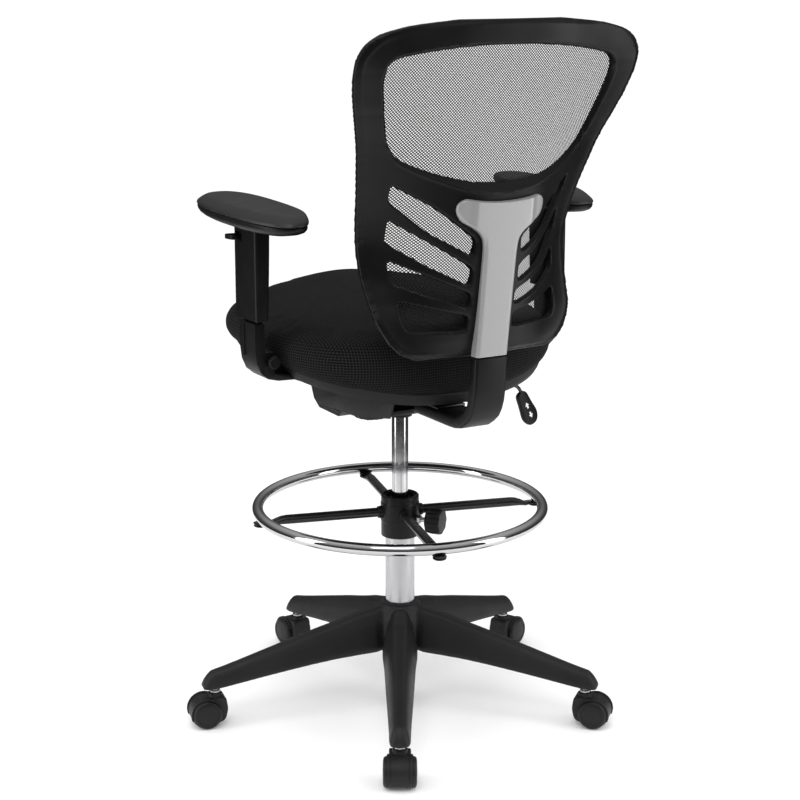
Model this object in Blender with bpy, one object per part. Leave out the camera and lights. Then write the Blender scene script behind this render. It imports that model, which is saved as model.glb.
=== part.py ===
"""Drafting chair: five-leg base, twin-wheel casters, gas lift, foot ring, tilting seat, mesh back, two arms.

Metres, +Z up. The sitter faces -Y, so +X is the sitter's left. Shapes are written about the column's axis,
and one empty then moves them all, so that the origin lies on the floor under the middle of the chair.
Heights are written above a datum that lies FLOOR below the floor the wheels stand on.
"""

import math

import bmesh
import bpy
from mathutils import Matrix, Vector

# ---- driving dimensions -------------------------------------------------------------------------------
COLUMN_X, COLUMN_Y = -0.0097, 0.01725    # column axis, seen from the middle of the chair
FLOOR = 0.0045                           # floor above the datum that heights are written from
GAP = 0.0003                             # between pieces that touch
CLEARANCE = 0.0010                       # between pieces that move on each other

LEG_COUNT, FIRST_LEG = 5, 60.0           # degrees, from +X
STEM_CIRCLE = 0.329                      # caster stems stand on this radius
WHEEL_RADIUS = 0.025
CASTER_TRAIL = 0.017                     # axle behind the stem
WHEEL_SIDES = 20                         # a flat of each wheel lies on the floor
AXLE_HEIGHT = FLOOR + WHEEL_RADIUS * math.cos(math.pi / WHEEL_SIDES)
TWIN_WIDTH, HOOD_HALF = 0.054, 0.0175    # over both wheels; half the body between them

COLUMN_RADIUS, COLUMN_BORE = 0.025, 0.0235
COLUMN_BOTTOM, COLUMN_TOP = 0.086, 0.3705
CYLINDER_RADIUS = 0.014
CYLINDER_BOTTOM, CYLINDER_TOP = 0.210, 0.546
ROD_RADIUS, ROD_TOP = 0.005, 0.320

RING_RADIUS, RING_TUBE, RING_HEIGHT = 0.242, 0.0095, 0.359
COLLAR_RADIUS, COLLAR_LOW, COLLAR_HIGH = 0.0322, 0.308, 0.3770
SPOKE_RADIUS, SPOKE_HEIGHT, FIRST_SPOKE = 0.008, 0.3500, 75.0
RING_KNOB_ANGLE, RING_KNOB_HEIGHT = 128.0, 0.3385

TILT_Y, TILT_Z = -0.050, 0.535           # tilt axle
PAN_HALF, PAN_FRONT, PAN_REAR = 0.090, -0.155, 0.056
LEVER_PIVOT_X, LEVER_Z, LEVER_WIRE = -0.072, 0.554, 0.0030
TENSION_Y, KNOB_LOW = -0.098, 0.4940

SEAT_HALF, SEAT_HALF_DEPTH, SEAT_CENTRE_Y = 0.253, 0.246, -0.044
SEAT_POWER = 3.0                         # squareness of the seat's outline
SHELL_SHARE = 0.93                       # the shell's outline against the cushion's
SHELL_DEPTH, SHELL_WALL = 0.022, 0.004

FRAME_WALL = 0.014
MESH_WALL = 0.0016
BACK_COLUMNS = 12                        # facets across the back
BAR_HALF = 0.028                         # half the width of the back's stem
BAR_WALL = 0.018

ARM_X, ARM_Y, ARM_LOW = 0.2780, 0.0200, 0.7155   # middle of the left sleeve, and its lower end
PAD_LENGTH, PAD_WIDTH, PAD_TOE_OUT = 0.295, 0.092, 5.0
PAD_X, PAD_Y, PAD_BASE = 0.2740, 0.0120, 0.8675
PAD_FALL = 0.040                         # slope of the pad, down to the rear
KNOB_X, KNOB_Z = 0.2610, 0.6480          # knob behind the arm's lower corner


# ---- scene, materials, bodies -------------------------------------------------------------------------
def clear_scene():
    for old in list(bpy.data.objects):
        bpy.data.objects.remove(old, do_unlink=True)


def material(name, colour, roughness, metallic=0.0):
    made = bpy.data.materials.new(name)
    made.use_nodes = True
    shader = made.node_tree.nodes["Principled BSDF"]
    shader.inputs["Base Color"].default_value = (*colour, 1.0)
    shader.inputs["Roughness"].default_value = roughness
    shader.inputs["Metallic"].default_value = metallic
    return made


def make_materials():
    return {
        "nylon": material("nylon", (0.022, 0.022, 0.024), 0.50),
        "satin_plastic": material("satin_plastic", (0.018, 0.018, 0.019), 0.38),
        "shell_plastic": material("shell_plastic", (0.040, 0.040, 0.042), 0.55),
        "tread": material("tread", (0.015, 0.015, 0.016), 0.45),
        "chrome": material("chrome", (0.78, 0.79, 0.80), 0.08, 1.0),
        "steel": material("steel", (0.45, 0.45, 0.46), 0.35, 1.0),
        "painted_steel": material("painted_steel", (0.020, 0.020, 0.021), 0.40),
        "silver": material("silver", (0.50, 0.50, 0.50), 0.38, 0.6),
        "seat_fabric": material("seat_fabric", (0.010, 0.010, 0.011), 0.90),
        "back_mesh": material("back_mesh", (0.015, 0.015, 0.016), 0.80),
        "pad": material("pad", (0.020, 0.020, 0.021), 0.55),
    }


def make_body(name, place, parent=None):
    """An empty on a joint's axis; place is measured from the column's axis."""
    empty = bpy.data.objects.new(name, None)
    bpy.context.collection.objects.link(empty)
    origin = Vector(place)
    if parent:
        empty.parent = parent
        origin = origin - Vector(parent["place"])
    empty.location = origin
    empty["place"] = place
    return empty


def smooth(mesh, angle=35.0):
    mesh.shade_smooth()
    mesh.set_sharp_from_angle(angle=math.radians(angle))


def finish(name, form, body, skin):
    """Turn a bmesh, drawn about the column's axis, into a named object on its body."""
    bmesh.ops.recalc_face_normals(form, faces=form.faces)
    mesh = bpy.data.meshes.new(name)
    form.to_mesh(mesh)
    form.free()
    mesh.transform(Matrix.Translation(-Vector(body["place"])))
    mesh.materials.append(MATERIALS[skin])
    smooth(mesh)
    made = bpy.data.objects.new(name, mesh)
    bpy.context.collection.objects.link(made)
    made.parent = body
    return made


# ---- forms ----------------------------------------------------------------------------------------------
def loft(rings, closed=False):
    """Skin equal rings of points; the ends are capped unless the rings close on themselves."""
    form = bmesh.new()
    loops = [[form.verts.new(point) for point in ring] for ring in rings]
    pairs = list(zip(loops, loops[1:]))
    if closed:
        pairs.append((loops[-1], loops[0]))
    for lower, upper in pairs:
        count = len(lower)
        for i in range(count):
            j = (i + 1) % count
            form.faces.new((lower[i], lower[j], upper[j], upper[i]))
    if not closed:
        form.faces.new(loops[0])
        form.faces.new(loops[-1])
    return form


def circle(radius, height, segments, centre=(0.0, 0.0)):
    step = 2 * math.pi / segments
    return [(centre[0] + radius * math.cos(i * step), centre[1] + radius * math.sin(i * step), height)
            for i in range(segments)]


def turned(profile, segments, centre=(0.0, 0.0), closed=False):
    """A solid turned about a vertical axis from (radius, height) points."""
    return loft([circle(radius, height, segments, centre) for radius, height in profile], closed)


def prism(outline, axis, low, high):
    """An outline in the plane across an axis, pulled along it; axis 0, 1 or 2."""
    def point(u, v, depth):
        values = [u, v]
        values.insert(axis, depth)
        return values
    return loft([[point(u, v, low) for u, v in outline], [point(u, v, high) for u, v in outline]])


def block(low, high):
    return prism([(low[0], low[1]), (high[0], low[1]), (high[0], high[1]), (low[0], high[1])],
                 2, low[2], high[2])


def tube(path, radius, sides):
    """A round bar along a path, on frames that don't twist."""
    points = [Vector(point) for point in path]
    rings = []
    side = None
    for i, point in enumerate(points):
        ahead = (points[min(i + 1, len(points) - 1)] - points[max(i - 1, 0)]).normalized()
        if side is None:
            side = ahead.orthogonal().normalized()
        side = (side - ahead * side.dot(ahead)).normalized()
        other = ahead.cross(side)
        rings.append([point + radius * (math.cos(t) * side + math.sin(t) * other)
                      for t in (2 * math.pi * k / sides for k in range(sides))])
    return loft(rings)


def moved(form, matrix):
    bmesh.ops.transform(form, matrix=matrix, verts=form.verts)
    return form


def turned_to(angle):
    return Matrix.Rotation(math.radians(angle), 4, "Z")


def rounded(corners, radius, steps=4):
    """An outline whose corners become short curves of about the given reach."""
    made = []
    for i, corner in enumerate(corners):
        here = Vector(corner)
        before = Vector(corners[i - 1])
        after = Vector(corners[(i + 1) % len(corners)])
        reach_in = min(radius, (before - here).length * 0.45)
        reach_out = min(radius, (after - here).length * 0.45)
        start = here + (before - here).normalized() * reach_in
        end = here + (after - here).normalized() * reach_out
        for k in range(steps + 1):
            t = k / steps
            made.append(tuple(start * (1 - t) ** 2 + here * (2 * t * (1 - t)) + end * t ** 2))
    return made


def combine(base, others, operation):
    """Apply a Boolean of bmesh forms and give back one bmesh."""
    def loose(form):
        bmesh.ops.recalc_face_normals(form, faces=form.faces)
        mesh = bpy.data.meshes.new("loose")
        form.to_mesh(mesh)
        form.free()
        made = bpy.data.objects.new("loose", mesh)
        bpy.context.collection.objects.link(made)
        return made
    target = loose(base)
    tools = [loose(form) for form in others]
    for tool in tools:
        modifier = target.modifiers.new("join", "BOOLEAN")
        modifier.operation = operation
        modifier.object = tool
    graph = bpy.context.evaluated_depsgraph_get()
    form = bmesh.new()
    form.from_mesh(target.evaluated_get(graph).to_mesh())
    for used in [target, *tools]:
        bpy.data.objects.remove(used, do_unlink=True)
    return form


def blended(rows, at):
    """Read a table of (at, value, ...) rows with smooth (Catmull-Rom) curves."""
    rows = sorted(rows)
    if at <= rows[0][0]:
        return rows[0][1:]
    if at >= rows[-1][0]:
        return rows[-1][1:]
    i = max(k for k in range(len(rows) - 1) if rows[k][0] <= at)
    t = (at - rows[i][0]) / (rows[i + 1][0] - rows[i][0])
    values = []
    for column in range(1, len(rows[0])):
        p1, p2 = rows[i][column], rows[i + 1][column]
        p0 = rows[i - 1][column] if i else 2 * p1 - p2
        p3 = rows[i + 2][column] if i + 2 < len(rows) else 2 * p2 - p1
        values.append(0.5 * (2 * p1 + (p2 - p0) * t + (2 * p0 - 5 * p1 + 4 * p2 - p3) * t ** 2
                             + (3 * p1 - p0 - 3 * p2 + p3) * t ** 3))
    return tuple(values)


# ---- base -----------------------------------------------------------------------------------------------
def leg_form():
    """One leg along +X: (distance, top height, bottom height, half width at top, half width at bottom)."""
    sections = [
        (0.0275, 0.183, 0.108, 0.0135, 0.0190),
        (0.050, 0.180, 0.107, 0.0160, 0.0310),
        (0.120, 0.161, 0.102, 0.0145, 0.0275),
        (0.220, 0.133, 0.0885, 0.0125, 0.0230),
        (0.300, 0.110, 0.0755, 0.0110, 0.0190),
        (0.334, 0.100, 0.070, 0.0100, 0.0180),
        (0.346, 0.086, 0.070, 0.0090, 0.0150),
        (0.350, 0.078, 0.070, 0.0070, 0.0120),
    ]
    rings = []
    for x, top, bottom, half_top, half_bottom in sections:
        shoulder = top - 0.35 * (top - bottom)
        foot = bottom + 0.12 * (top - bottom)
        rings.append([(x, half_bottom * 0.9, bottom), (x, half_bottom, foot), (x, half_top * 1.35, shoulder),
                      (x, half_top * 0.6, top), (x, -half_top * 0.6, top), (x, -half_top * 1.35, shoulder),
                      (x, -half_bottom, foot), (x, -half_bottom * 0.9, bottom)])
    return loft(rings)


def leg_hollow():
    """The open underside of a leg, inside its walls."""
    sections = [(0.062, 0.150, 0.090, 0.022), (0.180, 0.126, 0.080, 0.018), (0.296, 0.096, 0.060, 0.014)]
    rings = []
    for x, top, bottom, half in sections:
        rings.append([(x, half, bottom), (x, half * 0.55, top), (x, -half * 0.55, top), (x, -half, bottom)])
    return loft(rings)


def leg_angles():
    return [FIRST_LEG + 360.0 / LEG_COUNT * i for i in range(LEG_COUNT)]


def make_base(body):
    hub = turned([(0.0400, 0.092), (0.0440, 0.096), (0.0410, 0.160), (0.0340, 0.1855), (0.0320, 0.1875)], 24)
    legs = [moved(leg_form(), turned_to(angle)) for angle in leg_angles()]
    form = combine(hub, legs, "UNION")
    cutters = [turned([(COLUMN_RADIUS + 2 * GAP, 0.06), (COLUMN_RADIUS + 2 * GAP, 0.21)], 28)]
    for angle in leg_angles():
        cutters.append(moved(leg_hollow(), turned_to(angle)))
        socket = turned([(0.0060, 0.05), (0.0060, 0.0935)], 8, (STEM_CIRCLE, 0.0))
        cutters.append(moved(socket, turned_to(angle)))
    finish("star_base", combine(form, cutters, "DIFFERENCE"), body, "nylon")


def make_column(body):
    ring = [(COLUMN_RADIUS, COLUMN_BOTTOM), (COLUMN_RADIUS, COLUMN_TOP - 0.001),
            (COLUMN_RADIUS - 0.0007, COLUMN_TOP), (COLUMN_BORE, COLUMN_TOP), (COLUMN_BORE, 0.094),
            (0.0095, 0.094), (0.0095, COLUMN_BOTTOM)]
    finish("column_tube", turned(ring, 28, closed=True), body, "chrome")
    sleeve = COLUMN_BORE - GAP
    bush = [(sleeve, 0.300), (sleeve, 0.3690), (0.0205, 0.3715), (CYLINDER_RADIUS + GAP, 0.3695),
            (CYLINDER_RADIUS + GAP, 0.300)]
    finish("column_bush", turned(bush, 20, closed=True), body, "satin_plastic")
    bearing = [(0.0150, 0.0945), (0.0150, 0.0990), (ROD_RADIUS + GAP, 0.0990), (ROD_RADIUS + GAP, 0.0945)]
    finish("thrust_bearing", turned(bearing, 20, closed=True), body, "steel")
    clip = [(0.0110, 0.0830), (0.0110, 0.0855), (ROD_RADIUS + GAP, 0.0855), (ROD_RADIUS + GAP, 0.0830)]
    finish("column_clip", turned(clip, 16, closed=True), body, "steel")


# ---- casters --------------------------------------------------------------------------------------------
def across(form, place):
    """Lay a form turned about Z on its side, so its axis runs along Y at the given place."""
    return moved(form, Matrix.Translation(place) @ Matrix.Rotation(math.radians(90), 4, "X"))


def stem_form():
    return turned([(0.0055, 0.0505), (0.0055, 0.0622), (0.0090, 0.0624), (0.0090, 0.0655),
                   (0.0055, 0.0657), (0.0055, 0.0895), (0.0040, 0.0905)], 8)


def hood_form():
    """The wide middle of a caster: round over the wheels, square at the stem, open below."""
    axle = (CASTER_TRAIL, 0.0, AXLE_HEIGHT)
    reach = WHEEL_RADIUS + 0.0015
    round_side = [(axle[0] + reach * math.cos(math.radians(a)), axle[2] + reach * math.sin(math.radians(a)))
                  for a in (-42, -20, 2, 24, 46, 68, 90)]
    side = round_side + [(-0.0080, 0.0580), (-0.0165, 0.0550), (-0.0195, 0.0340), (-0.0150, 0.0160),
                         (-0.0040, 0.0110), (0.0220, 0.0110)]
    half = HOOD_HALF
    inner = [(axle[0] + (x - axle[0]) * 0.93, axle[2] + (z - axle[2]) * 0.94) for x, z in side]
    body = loft([[(x, y, z) for x, z in ring] for y, ring in
                 ((-half, inner), (-half + 0.003, side), (half - 0.003, side), (half, inner))])
    neck = turned([(0.0120, 0.0470), (0.0122, 0.0595), (0.0105, 0.0618)], 12)
    hole = across(turned([(0.0035, -0.04), (0.0035, 0.04)], 8), axle)
    socket = turned([(0.0059, 0.0500), (0.0059, 0.08)], 8)
    return combine(combine(body, [neck], "UNION"), [hole, socket], "DIFFERENCE")


def wheels_form():
    """Two wheels and the axle that they are pressed on, turned in one profile."""
    inner, outer, r = HOOD_HALF + CLEARANCE, TWIN_WIDTH / 2, WHEEL_RADIUS
    half = [(0.0030, inner), (r - 0.0010, inner), (r, inner + 0.0012), (r, outer - 0.0040),
            (r - 0.0022, outer - 0.0014), (0.0160, outer)]
    profile = [(radius, -y) for radius, y in reversed(half)] + half
    wheels = moved(turned(profile, WHEEL_SIDES), turned_to(180.0 / WHEEL_SIDES))
    return across(wheels, (CASTER_TRAIL, 0.0, AXLE_HEIGHT))


def make_casters(base):
    for i, angle in enumerate(leg_angles(), 1):
        c, s = math.cos(math.radians(angle)), math.sin(math.radians(angle))
        swivel = make_body(f"caster_{i}_swivel", (STEM_CIRCLE * c, STEM_CIRCLE * s, AXLE_HEIGHT), base)
        reach = STEM_CIRCLE + CASTER_TRAIL
        roll = make_body(f"caster_{i}_roll", (reach * c, reach * s, AXLE_HEIGHT), swivel)
        place = turned_to(angle) @ Matrix.Translation((STEM_CIRCLE, 0.0, 0.0))
        finish(f"caster_{i}_stem", moved(stem_form(), place), swivel, "steel")
        finish(f"caster_{i}_hood", moved(hood_form(), place), swivel, "nylon")
        finish(f"caster_{i}_wheels", moved(wheels_form(), place), roll, "tread")


# ---- gas lift and tilt mechanism ----------------------------------------------------------------------
def make_lift(spindle, lift, valve):
    rod = turned([(0.0040, 0.0800), (ROD_RADIUS, 0.0815), (ROD_RADIUS, ROD_TOP - 0.001), (0.0040, ROD_TOP)], 12)
    finish("piston_rod", rod, spindle, "steel")
    r, top = CYLINDER_RADIUS, CYLINDER_TOP
    bore, pin = ROD_RADIUS + GAP, 0.0040 + GAP
    body = [(r - 0.0010, CYLINDER_BOTTOM), (r, CYLINDER_BOTTOM + 0.001), (r, 0.5250), (0.0130, top - 0.001),
            (0.0122, top)]
    form = combine(turned(body, 22),
                   [turned([(bore, 0.19), (bore, 0.455)], 12), turned([(pin, 0.524), (pin, 0.56)], 12)],
                   "DIFFERENCE")
    finish("gas_cylinder", form, lift, "chrome")
    finish("gas_valve_pin", turned([(0.0040, 0.5305), (0.0040, 0.5500), (0.0034, 0.5507)], 12), valve, "steel")


def make_housing(lift):
    """An open-topped pan: deep in front for the tension spring, shallow behind, with the lift's socket."""
    side = [(PAN_FRONT, 0.558), (PAN_FRONT + 0.014, 0.529), (PAN_FRONT + 0.034, 0.5165), (-0.052, 0.5155),
            (-0.030, 0.5290), (PAN_REAR - 0.006, 0.5310), (PAN_REAR, 0.5360), (PAN_REAR, 0.5410),
            (TILT_Y, 0.5590)]
    outside = prism(side, 0, -PAN_HALF, PAN_HALF)
    wall = 0.003
    inside = [(PAN_FRONT + wall, 0.580), (PAN_FRONT + 0.017, 0.532), (PAN_FRONT + 0.036, 0.5195),
              (-0.054, 0.5185), (-0.032, 0.5320), (PAN_REAR - wall, 0.5340), (PAN_REAR - wall, 0.580)]
    hollow = prism(inside, 0, -PAN_HALF + wall, PAN_HALF - wall)
    pan = combine(outside, [hollow], "DIFFERENCE")
    socket = turned([(0.0160, 0.5215), (0.0185, 0.5300), (0.0185, 0.5440)], 22)
    pan = combine(pan, [socket], "UNION")
    taper = turned([(0.0151, 0.510), (0.0145, 0.5246), (0.01345, 0.5452), (0.01345, 0.56)], 22)
    bolt = turned([(0.0056, 0.50), (0.0056, 0.53)], 12, (0.0, TENSION_Y))
    axle = moved(turned([(0.0055, -0.12), (0.0055, 0.12)], 14),
                 Matrix.Translation((0.0, TILT_Y, TILT_Z)) @ Matrix.Rotation(math.radians(90), 4, "Y"))
    notch = block((-0.11, -0.0155, 0.5365), (-0.080, 0.0155, 0.58))
    finish("mechanism_housing", combine(pan, [taper, bolt, axle, notch], "DIFFERENCE"), lift, "shell_plastic")
    bar = moved(turned([(0.0045, -0.0990), (0.0052, -0.0980), (0.0052, 0.0980), (0.0045, 0.0990)], 14),
                Matrix.Translation((0.0, TILT_Y, TILT_Z)) @ Matrix.Rotation(math.radians(90), 4, "Y"))
    finish("tilt_axle", bar, lift, "steel")


def make_tension(lift, knob_body):
    turns, steps, radius, wire = 4, 10, 0.0165, 0.0022
    low, high = 0.5228, 0.5510
    count = turns * steps
    path = [(radius * math.cos(2 * math.pi * i / steps), TENSION_Y + radius * math.sin(2 * math.pi * i / steps),
             low + (high - low) * i / count) for i in range(count + 1)]
    finish("tension_spring", tube(path, wire, 5), lift, "steel")
    ribs, height = 14, 0.0165
    rings = []
    for z, reach in ((0.0, 0.90), (0.003, 1.0), (height - 0.003, 1.0), (height, 0.93)):
        rings.append([((0.0325 - 0.0012 * (k % 2)) * reach * math.cos(math.pi * k / ribs),
                       TENSION_Y + (0.0325 - 0.0012 * (k % 2)) * reach * math.sin(math.pi * k / ribs),
                       KNOB_LOW + z) for k in range(2 * ribs)])
    shank = turned([(0.0050, KNOB_LOW + 0.006), (0.0050, 0.5535)], 12, (0.0, TENSION_Y))
    finish("tension_knob", combine(loft(rings), [shank], "UNION"), knob_body, "satin_plastic")


def make_lever(lock, lever):
    base = block((-0.0860, -0.0140, 0.5375), (-0.0500, 0.0140, 0.5405))
    ears = [block((-0.0800, y, 0.5395), (-0.0640, y + 0.0025, 0.5590)) for y in (-0.0070, 0.0045)]
    pivot = across(turned([(0.0013, -0.0060), (0.0013, 0.0060)], 8), (LEVER_PIVOT_X, 0.0, LEVER_Z))
    finish("tilt_lock_plate", combine(base, [*ears, pivot], "UNION"), lock, "steel")
    path = [(0.0120, 0, LEVER_Z), (-0.0500, 0, LEVER_Z), (-0.1200, 0, LEVER_Z), (-0.1700, 0, LEVER_Z - 0.004),
            (-0.2080, 0, LEVER_Z - 0.008), (-0.2370, 0, LEVER_Z - 0.016), (-0.2490, 0, LEVER_Z - 0.041)]
    eye = across(turned([(0.0016, -0.0060), (0.0016, 0.0060)], 8), (LEVER_PIVOT_X, 0.0, LEVER_Z))
    finish("lever_rod", combine(tube(path, LEVER_WIRE, 8), [eye], "DIFFERENCE"), lever, "painted_steel")
    outline = rounded([(-0.0105, 0.000), (0.0105, 0.000), (0.0135, 0.022), (0.0175, 0.052), (0.0085, 0.066),
                       (-0.0085, 0.066), (-0.0175, 0.052), (-0.0135, 0.022)], 0.006, 2)
    blade = loft([[(u * s, v * s + 0.033 * (1 - s), w) for u, v in outline]
                  for s, w in ((0.93, -0.0050), (1.0, -0.0035), (1.0, 0.0035), (0.93, 0.0050))])
    hole = moved(turned([(LEVER_WIRE + GAP, -0.012), (LEVER_WIRE + GAP, 0.018)], 10),
                 Matrix.Rotation(math.radians(-90), 4, "X"))
    blade = combine(blade, [hole], "DIFFERENCE")
    along = (Vector(path[-1]) - Vector(path[-2])).normalized()
    face = Vector((0.0, 1.0, 0.35))
    face = (face - along * face.dot(along)).normalized()
    wide = along.cross(face)
    turn = Matrix((wide, along, face)).transposed().to_4x4()
    place = Matrix.Translation(Vector(path[-1]) - along * 0.0168)
    finish("lever_paddle", moved(blade, place @ turn), lever, "satin_plastic")


# ---- foot ring ------------------------------------------------------------------------------------------
def make_foot_ring(body, knob_body):
    count, sides = 44, 8
    rings = []
    for k in range(count):
        a = 2 * math.pi * k / count
        rings.append([((RING_RADIUS + RING_TUBE * math.cos(b)) * math.cos(a),
                       (RING_RADIUS + RING_TUBE * math.cos(b)) * math.sin(a),
                       RING_HEIGHT + RING_TUBE * math.sin(b))
                      for b in (2 * math.pi * j / sides for j in range(sides))])
    finish("foot_ring", loft(rings, closed=True), body, "chrome")
    bore = COLUMN_RADIUS + GAP
    profile = [(bore, COLLAR_LOW), (0.0310, COLLAR_LOW), (COLLAR_RADIUS, COLLAR_LOW + 0.0015),
               (COLLAR_RADIUS, COLLAR_HIGH - 0.0015), (0.0310, COLLAR_HIGH), (0.0290, COLLAR_HIGH),
               (0.0285, COLLAR_HIGH - 0.0020), (bore, COLLAR_HIGH - 0.0030)]
    collar = turned(profile, 24, closed=True)
    hole = moved(turned([(0.0043, 0.02), (0.0043, 0.05)], 10), knob_frame())
    finish("foot_ring_collar", combine(collar, [hole], "DIFFERENCE"), body, "satin_plastic")
    flat_top = RING_HEIGHT - RING_TUBE - GAP
    for i in range(4):
        turn = turned_to(FIRST_SPOKE + 90.0 * i)
        finish(f"foot_ring_spoke_{i + 1}", moved(spoke_form(flat_top), turn), body, "painted_steel")
        bolt = turned([(0.0075, flat_top - 0.0085), (0.0092, flat_top - 0.0070),
                       (0.0092, flat_top - 0.0040 - GAP)], 12, (RING_RADIUS, 0.0))
        finish(f"foot_ring_bolt_{i + 1}", moved(bolt, turn), body, "satin_plastic")
    make_ring_knob(knob_body)


def spoke_form(flat_top):
    """A round tube whose outer end is pressed flat under the ring; rows are distance, half height, half width."""
    rows = [(COLLAR_RADIUS + GAP, SPOKE_RADIUS, SPOKE_RADIUS), (0.188, SPOKE_RADIUS, SPOKE_RADIUS),
            (0.214, 0.0035, 0.0100), (0.222, 0.0020, 0.0110), (0.248, 0.0020, 0.0110), (0.253, 0.0020, 0.0070)]
    rings = []
    for x, tall, wide in rows:
        middle = SPOKE_HEIGHT if tall > 0.006 else flat_top - tall
        rings.append([(x, wide * math.cos(t), middle + tall * math.sin(t))
                      for t in (2 * math.pi * k / 12 for k in range(12))])
    return loft(rings)


def knob_frame():
    """Turn a form's Z to run outward along the clamping knob's axis."""
    return (Matrix.Translation((0.0, 0.0, RING_KNOB_HEIGHT)) @ turned_to(RING_KNOB_ANGLE)
            @ Matrix.Rotation(math.radians(90), 4, "Y"))


def make_ring_knob(body):
    lobes, points = 8, 24
    rings = []
    for depth, reach in ((0.0530, 0.70), (0.0560, 0.96), (0.0600, 1.0), (0.0700, 1.0), (0.0745, 0.90)):
        rings.append([(reach * (0.0222 + 0.0009 * math.cos(lobes * a)) * math.cos(a),
                       reach * (0.0222 + 0.0009 * math.cos(lobes * a)) * math.sin(a), depth)
                      for a in (2 * math.pi * k / points for k in range(points))])
    stud = turned([(0.0040, 0.0256), (0.0040, 0.0600)], 10)
    form = combine(loft(rings), [stud], "UNION")
    finish("foot_ring_knob", moved(form, knob_frame()), body, "satin_plastic")


# ---- seat -----------------------------------------------------------------------------------------------
def seat_ring(rho, count):
    """Points on the seat's squared-off outline, shrunk by rho."""
    made = []
    for k in range(count):
        a = 2 * math.pi * k / count
        c, s = math.cos(a), math.sin(a)
        reach = rho / (abs(c) ** SEAT_POWER + abs(s) ** SEAT_POWER) ** (1 / SEAT_POWER)
        made.append((SEAT_HALF * reach * c, SEAT_CENTRE_Y + SEAT_HALF_DEPTH * reach * s))
    return made


def rho_at(x, y):
    u, v = abs(x) / SEAT_HALF, abs(y - SEAT_CENTRE_Y) / SEAT_HALF_DEPTH
    return (u ** SEAT_POWER + v ** SEAT_POWER) ** (1 / SEAT_POWER)


def rim_height(x, y):
    """The saddle line where the cushion meets the shell: low in the middle, higher at the sides."""
    return 0.598 + 0.038 * min(abs(x) / SEAT_HALF, 1.0) ** 1.7 - 0.080 * y


def shell_low(x, y):
    return rim_height(x, y) - SHELL_DEPTH * (1 - min(rho_at(x, y) / SHELL_SHARE, 1.0) ** 2.2)


def cushion_top(x, y):
    fall = 9.0 * max(0.0, -0.225 - y) ** 2
    return 0.709 - 0.090 * (y - SEAT_CENTRE_Y) - 0.006 * (x / SEAT_HALF) ** 2 - fall


def seat_layer(rhos, height, count):
    return [[(x, y, height(x, y)) for x, y in seat_ring(rho, count)] for rho in rhos]


def make_seat(body):
    count = 32
    inward = tuple(SHELL_SHARE * share for share in (0.05, 0.4, 0.65, 0.84, 0.97))
    low = seat_layer((*inward, SHELL_SHARE), shell_low, count)
    top = seat_layer(inward[::-1], lambda x, y: shell_low(x, y) + SHELL_WALL, count)
    finish("seat_shell", loft(low + top), body, "shell_plastic")
    lift = SHELL_WALL + 2 * GAP
    under = seat_layer(inward, lambda x, y: shell_low(x, y) + lift, count)
    sides = []
    for rho, share in ((0.965, 0.08), (0.995, 0.25), (1.0, 0.45), (0.985, 0.74)):
        sides.append([(x, y, (1 - share) * rim_height(x, y) + share * cushion_top(x, y))
                      for x, y in seat_ring(rho, count)])
    crown = seat_layer((0.94, 0.82, 0.5, 0.05), cushion_top, count)
    crown[0] = [(x, y, z - 0.0045) for x, y, z in crown[0]]
    finish("seat_cushion", loft(under + sides + crown), body, "seat_fabric")
    plate = block((-0.0960, -0.1450, 0.5665), (0.0960, 0.0900, 0.5705))
    tongue = block((-0.0260, 0.0850, 0.5665), (0.0260, 0.1650, 0.5705))
    ears = [block((x, -0.0720, 0.5250), (x + 0.0020, -0.0280, 0.5680)) for x in (-0.0945, 0.0925)]
    plate = combine(plate, [tongue, *ears], "UNION")
    hole = moved(turned([(0.0056, -0.12), (0.0056, 0.12)], 14),
                 Matrix.Translation((0.0, TILT_Y, TILT_Z)) @ Matrix.Rotation(math.radians(90), 4, "Y"))
    slot = block((-0.0970, -0.0240, 0.5600), (0.0220, 0.0140, 0.5800))
    finish("seat_plate", combine(plate, [hole, slot], "DIFFERENCE"), body, "painted_steel")


# ---- back -----------------------------------------------------------------------------------------------
BACK_ROWS = [   # height, rear face at the middle, rear face at the edge, half width
    (0.672, 0.2630, 0.2560, 0.118), (0.682, 0.2662, 0.2540, 0.141), (0.700, 0.2715, 0.2490, 0.159),
    (0.730, 0.2785, 0.2390, 0.174), (0.760, 0.2845, 0.2240, 0.180), (0.800, 0.2915, 0.2080, 0.185),
    (0.840, 0.2980, 0.2020, 0.188), (0.880, 0.3035, 0.2090, 0.193), (0.920, 0.3080, 0.2230, 0.199),
    (0.960, 0.3120, 0.2390, 0.207), (1.000, 0.3165, 0.2560, 0.216), (1.050, 0.3225, 0.2790, 0.232),
    (1.080, 0.3260, 0.2920, 0.2410), (1.110, 0.3295, 0.3040, 0.2460), (1.130, 0.3320, 0.3110, 0.2440),
    (1.150, 0.3345, 0.3170, 0.233), (1.165, 0.3360, 0.3220, 0.209), (1.176, 0.3370, 0.3270, 0.161),
    (1.183, 0.3375, 0.3330, 0.088),
]
BACK_BEND = 4                            # flatness of the back's middle


def back_depth(x, z, off=0.0):
    """Rear surface of the back at a point seen from behind; off moves it forward."""
    middle, edge, half = blended(BACK_ROWS, z)
    bend = math.sin(math.pi / 2 * min(abs(x) / half, 1.0)) ** BACK_BEND
    return middle - (middle - edge) * bend - off


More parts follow.
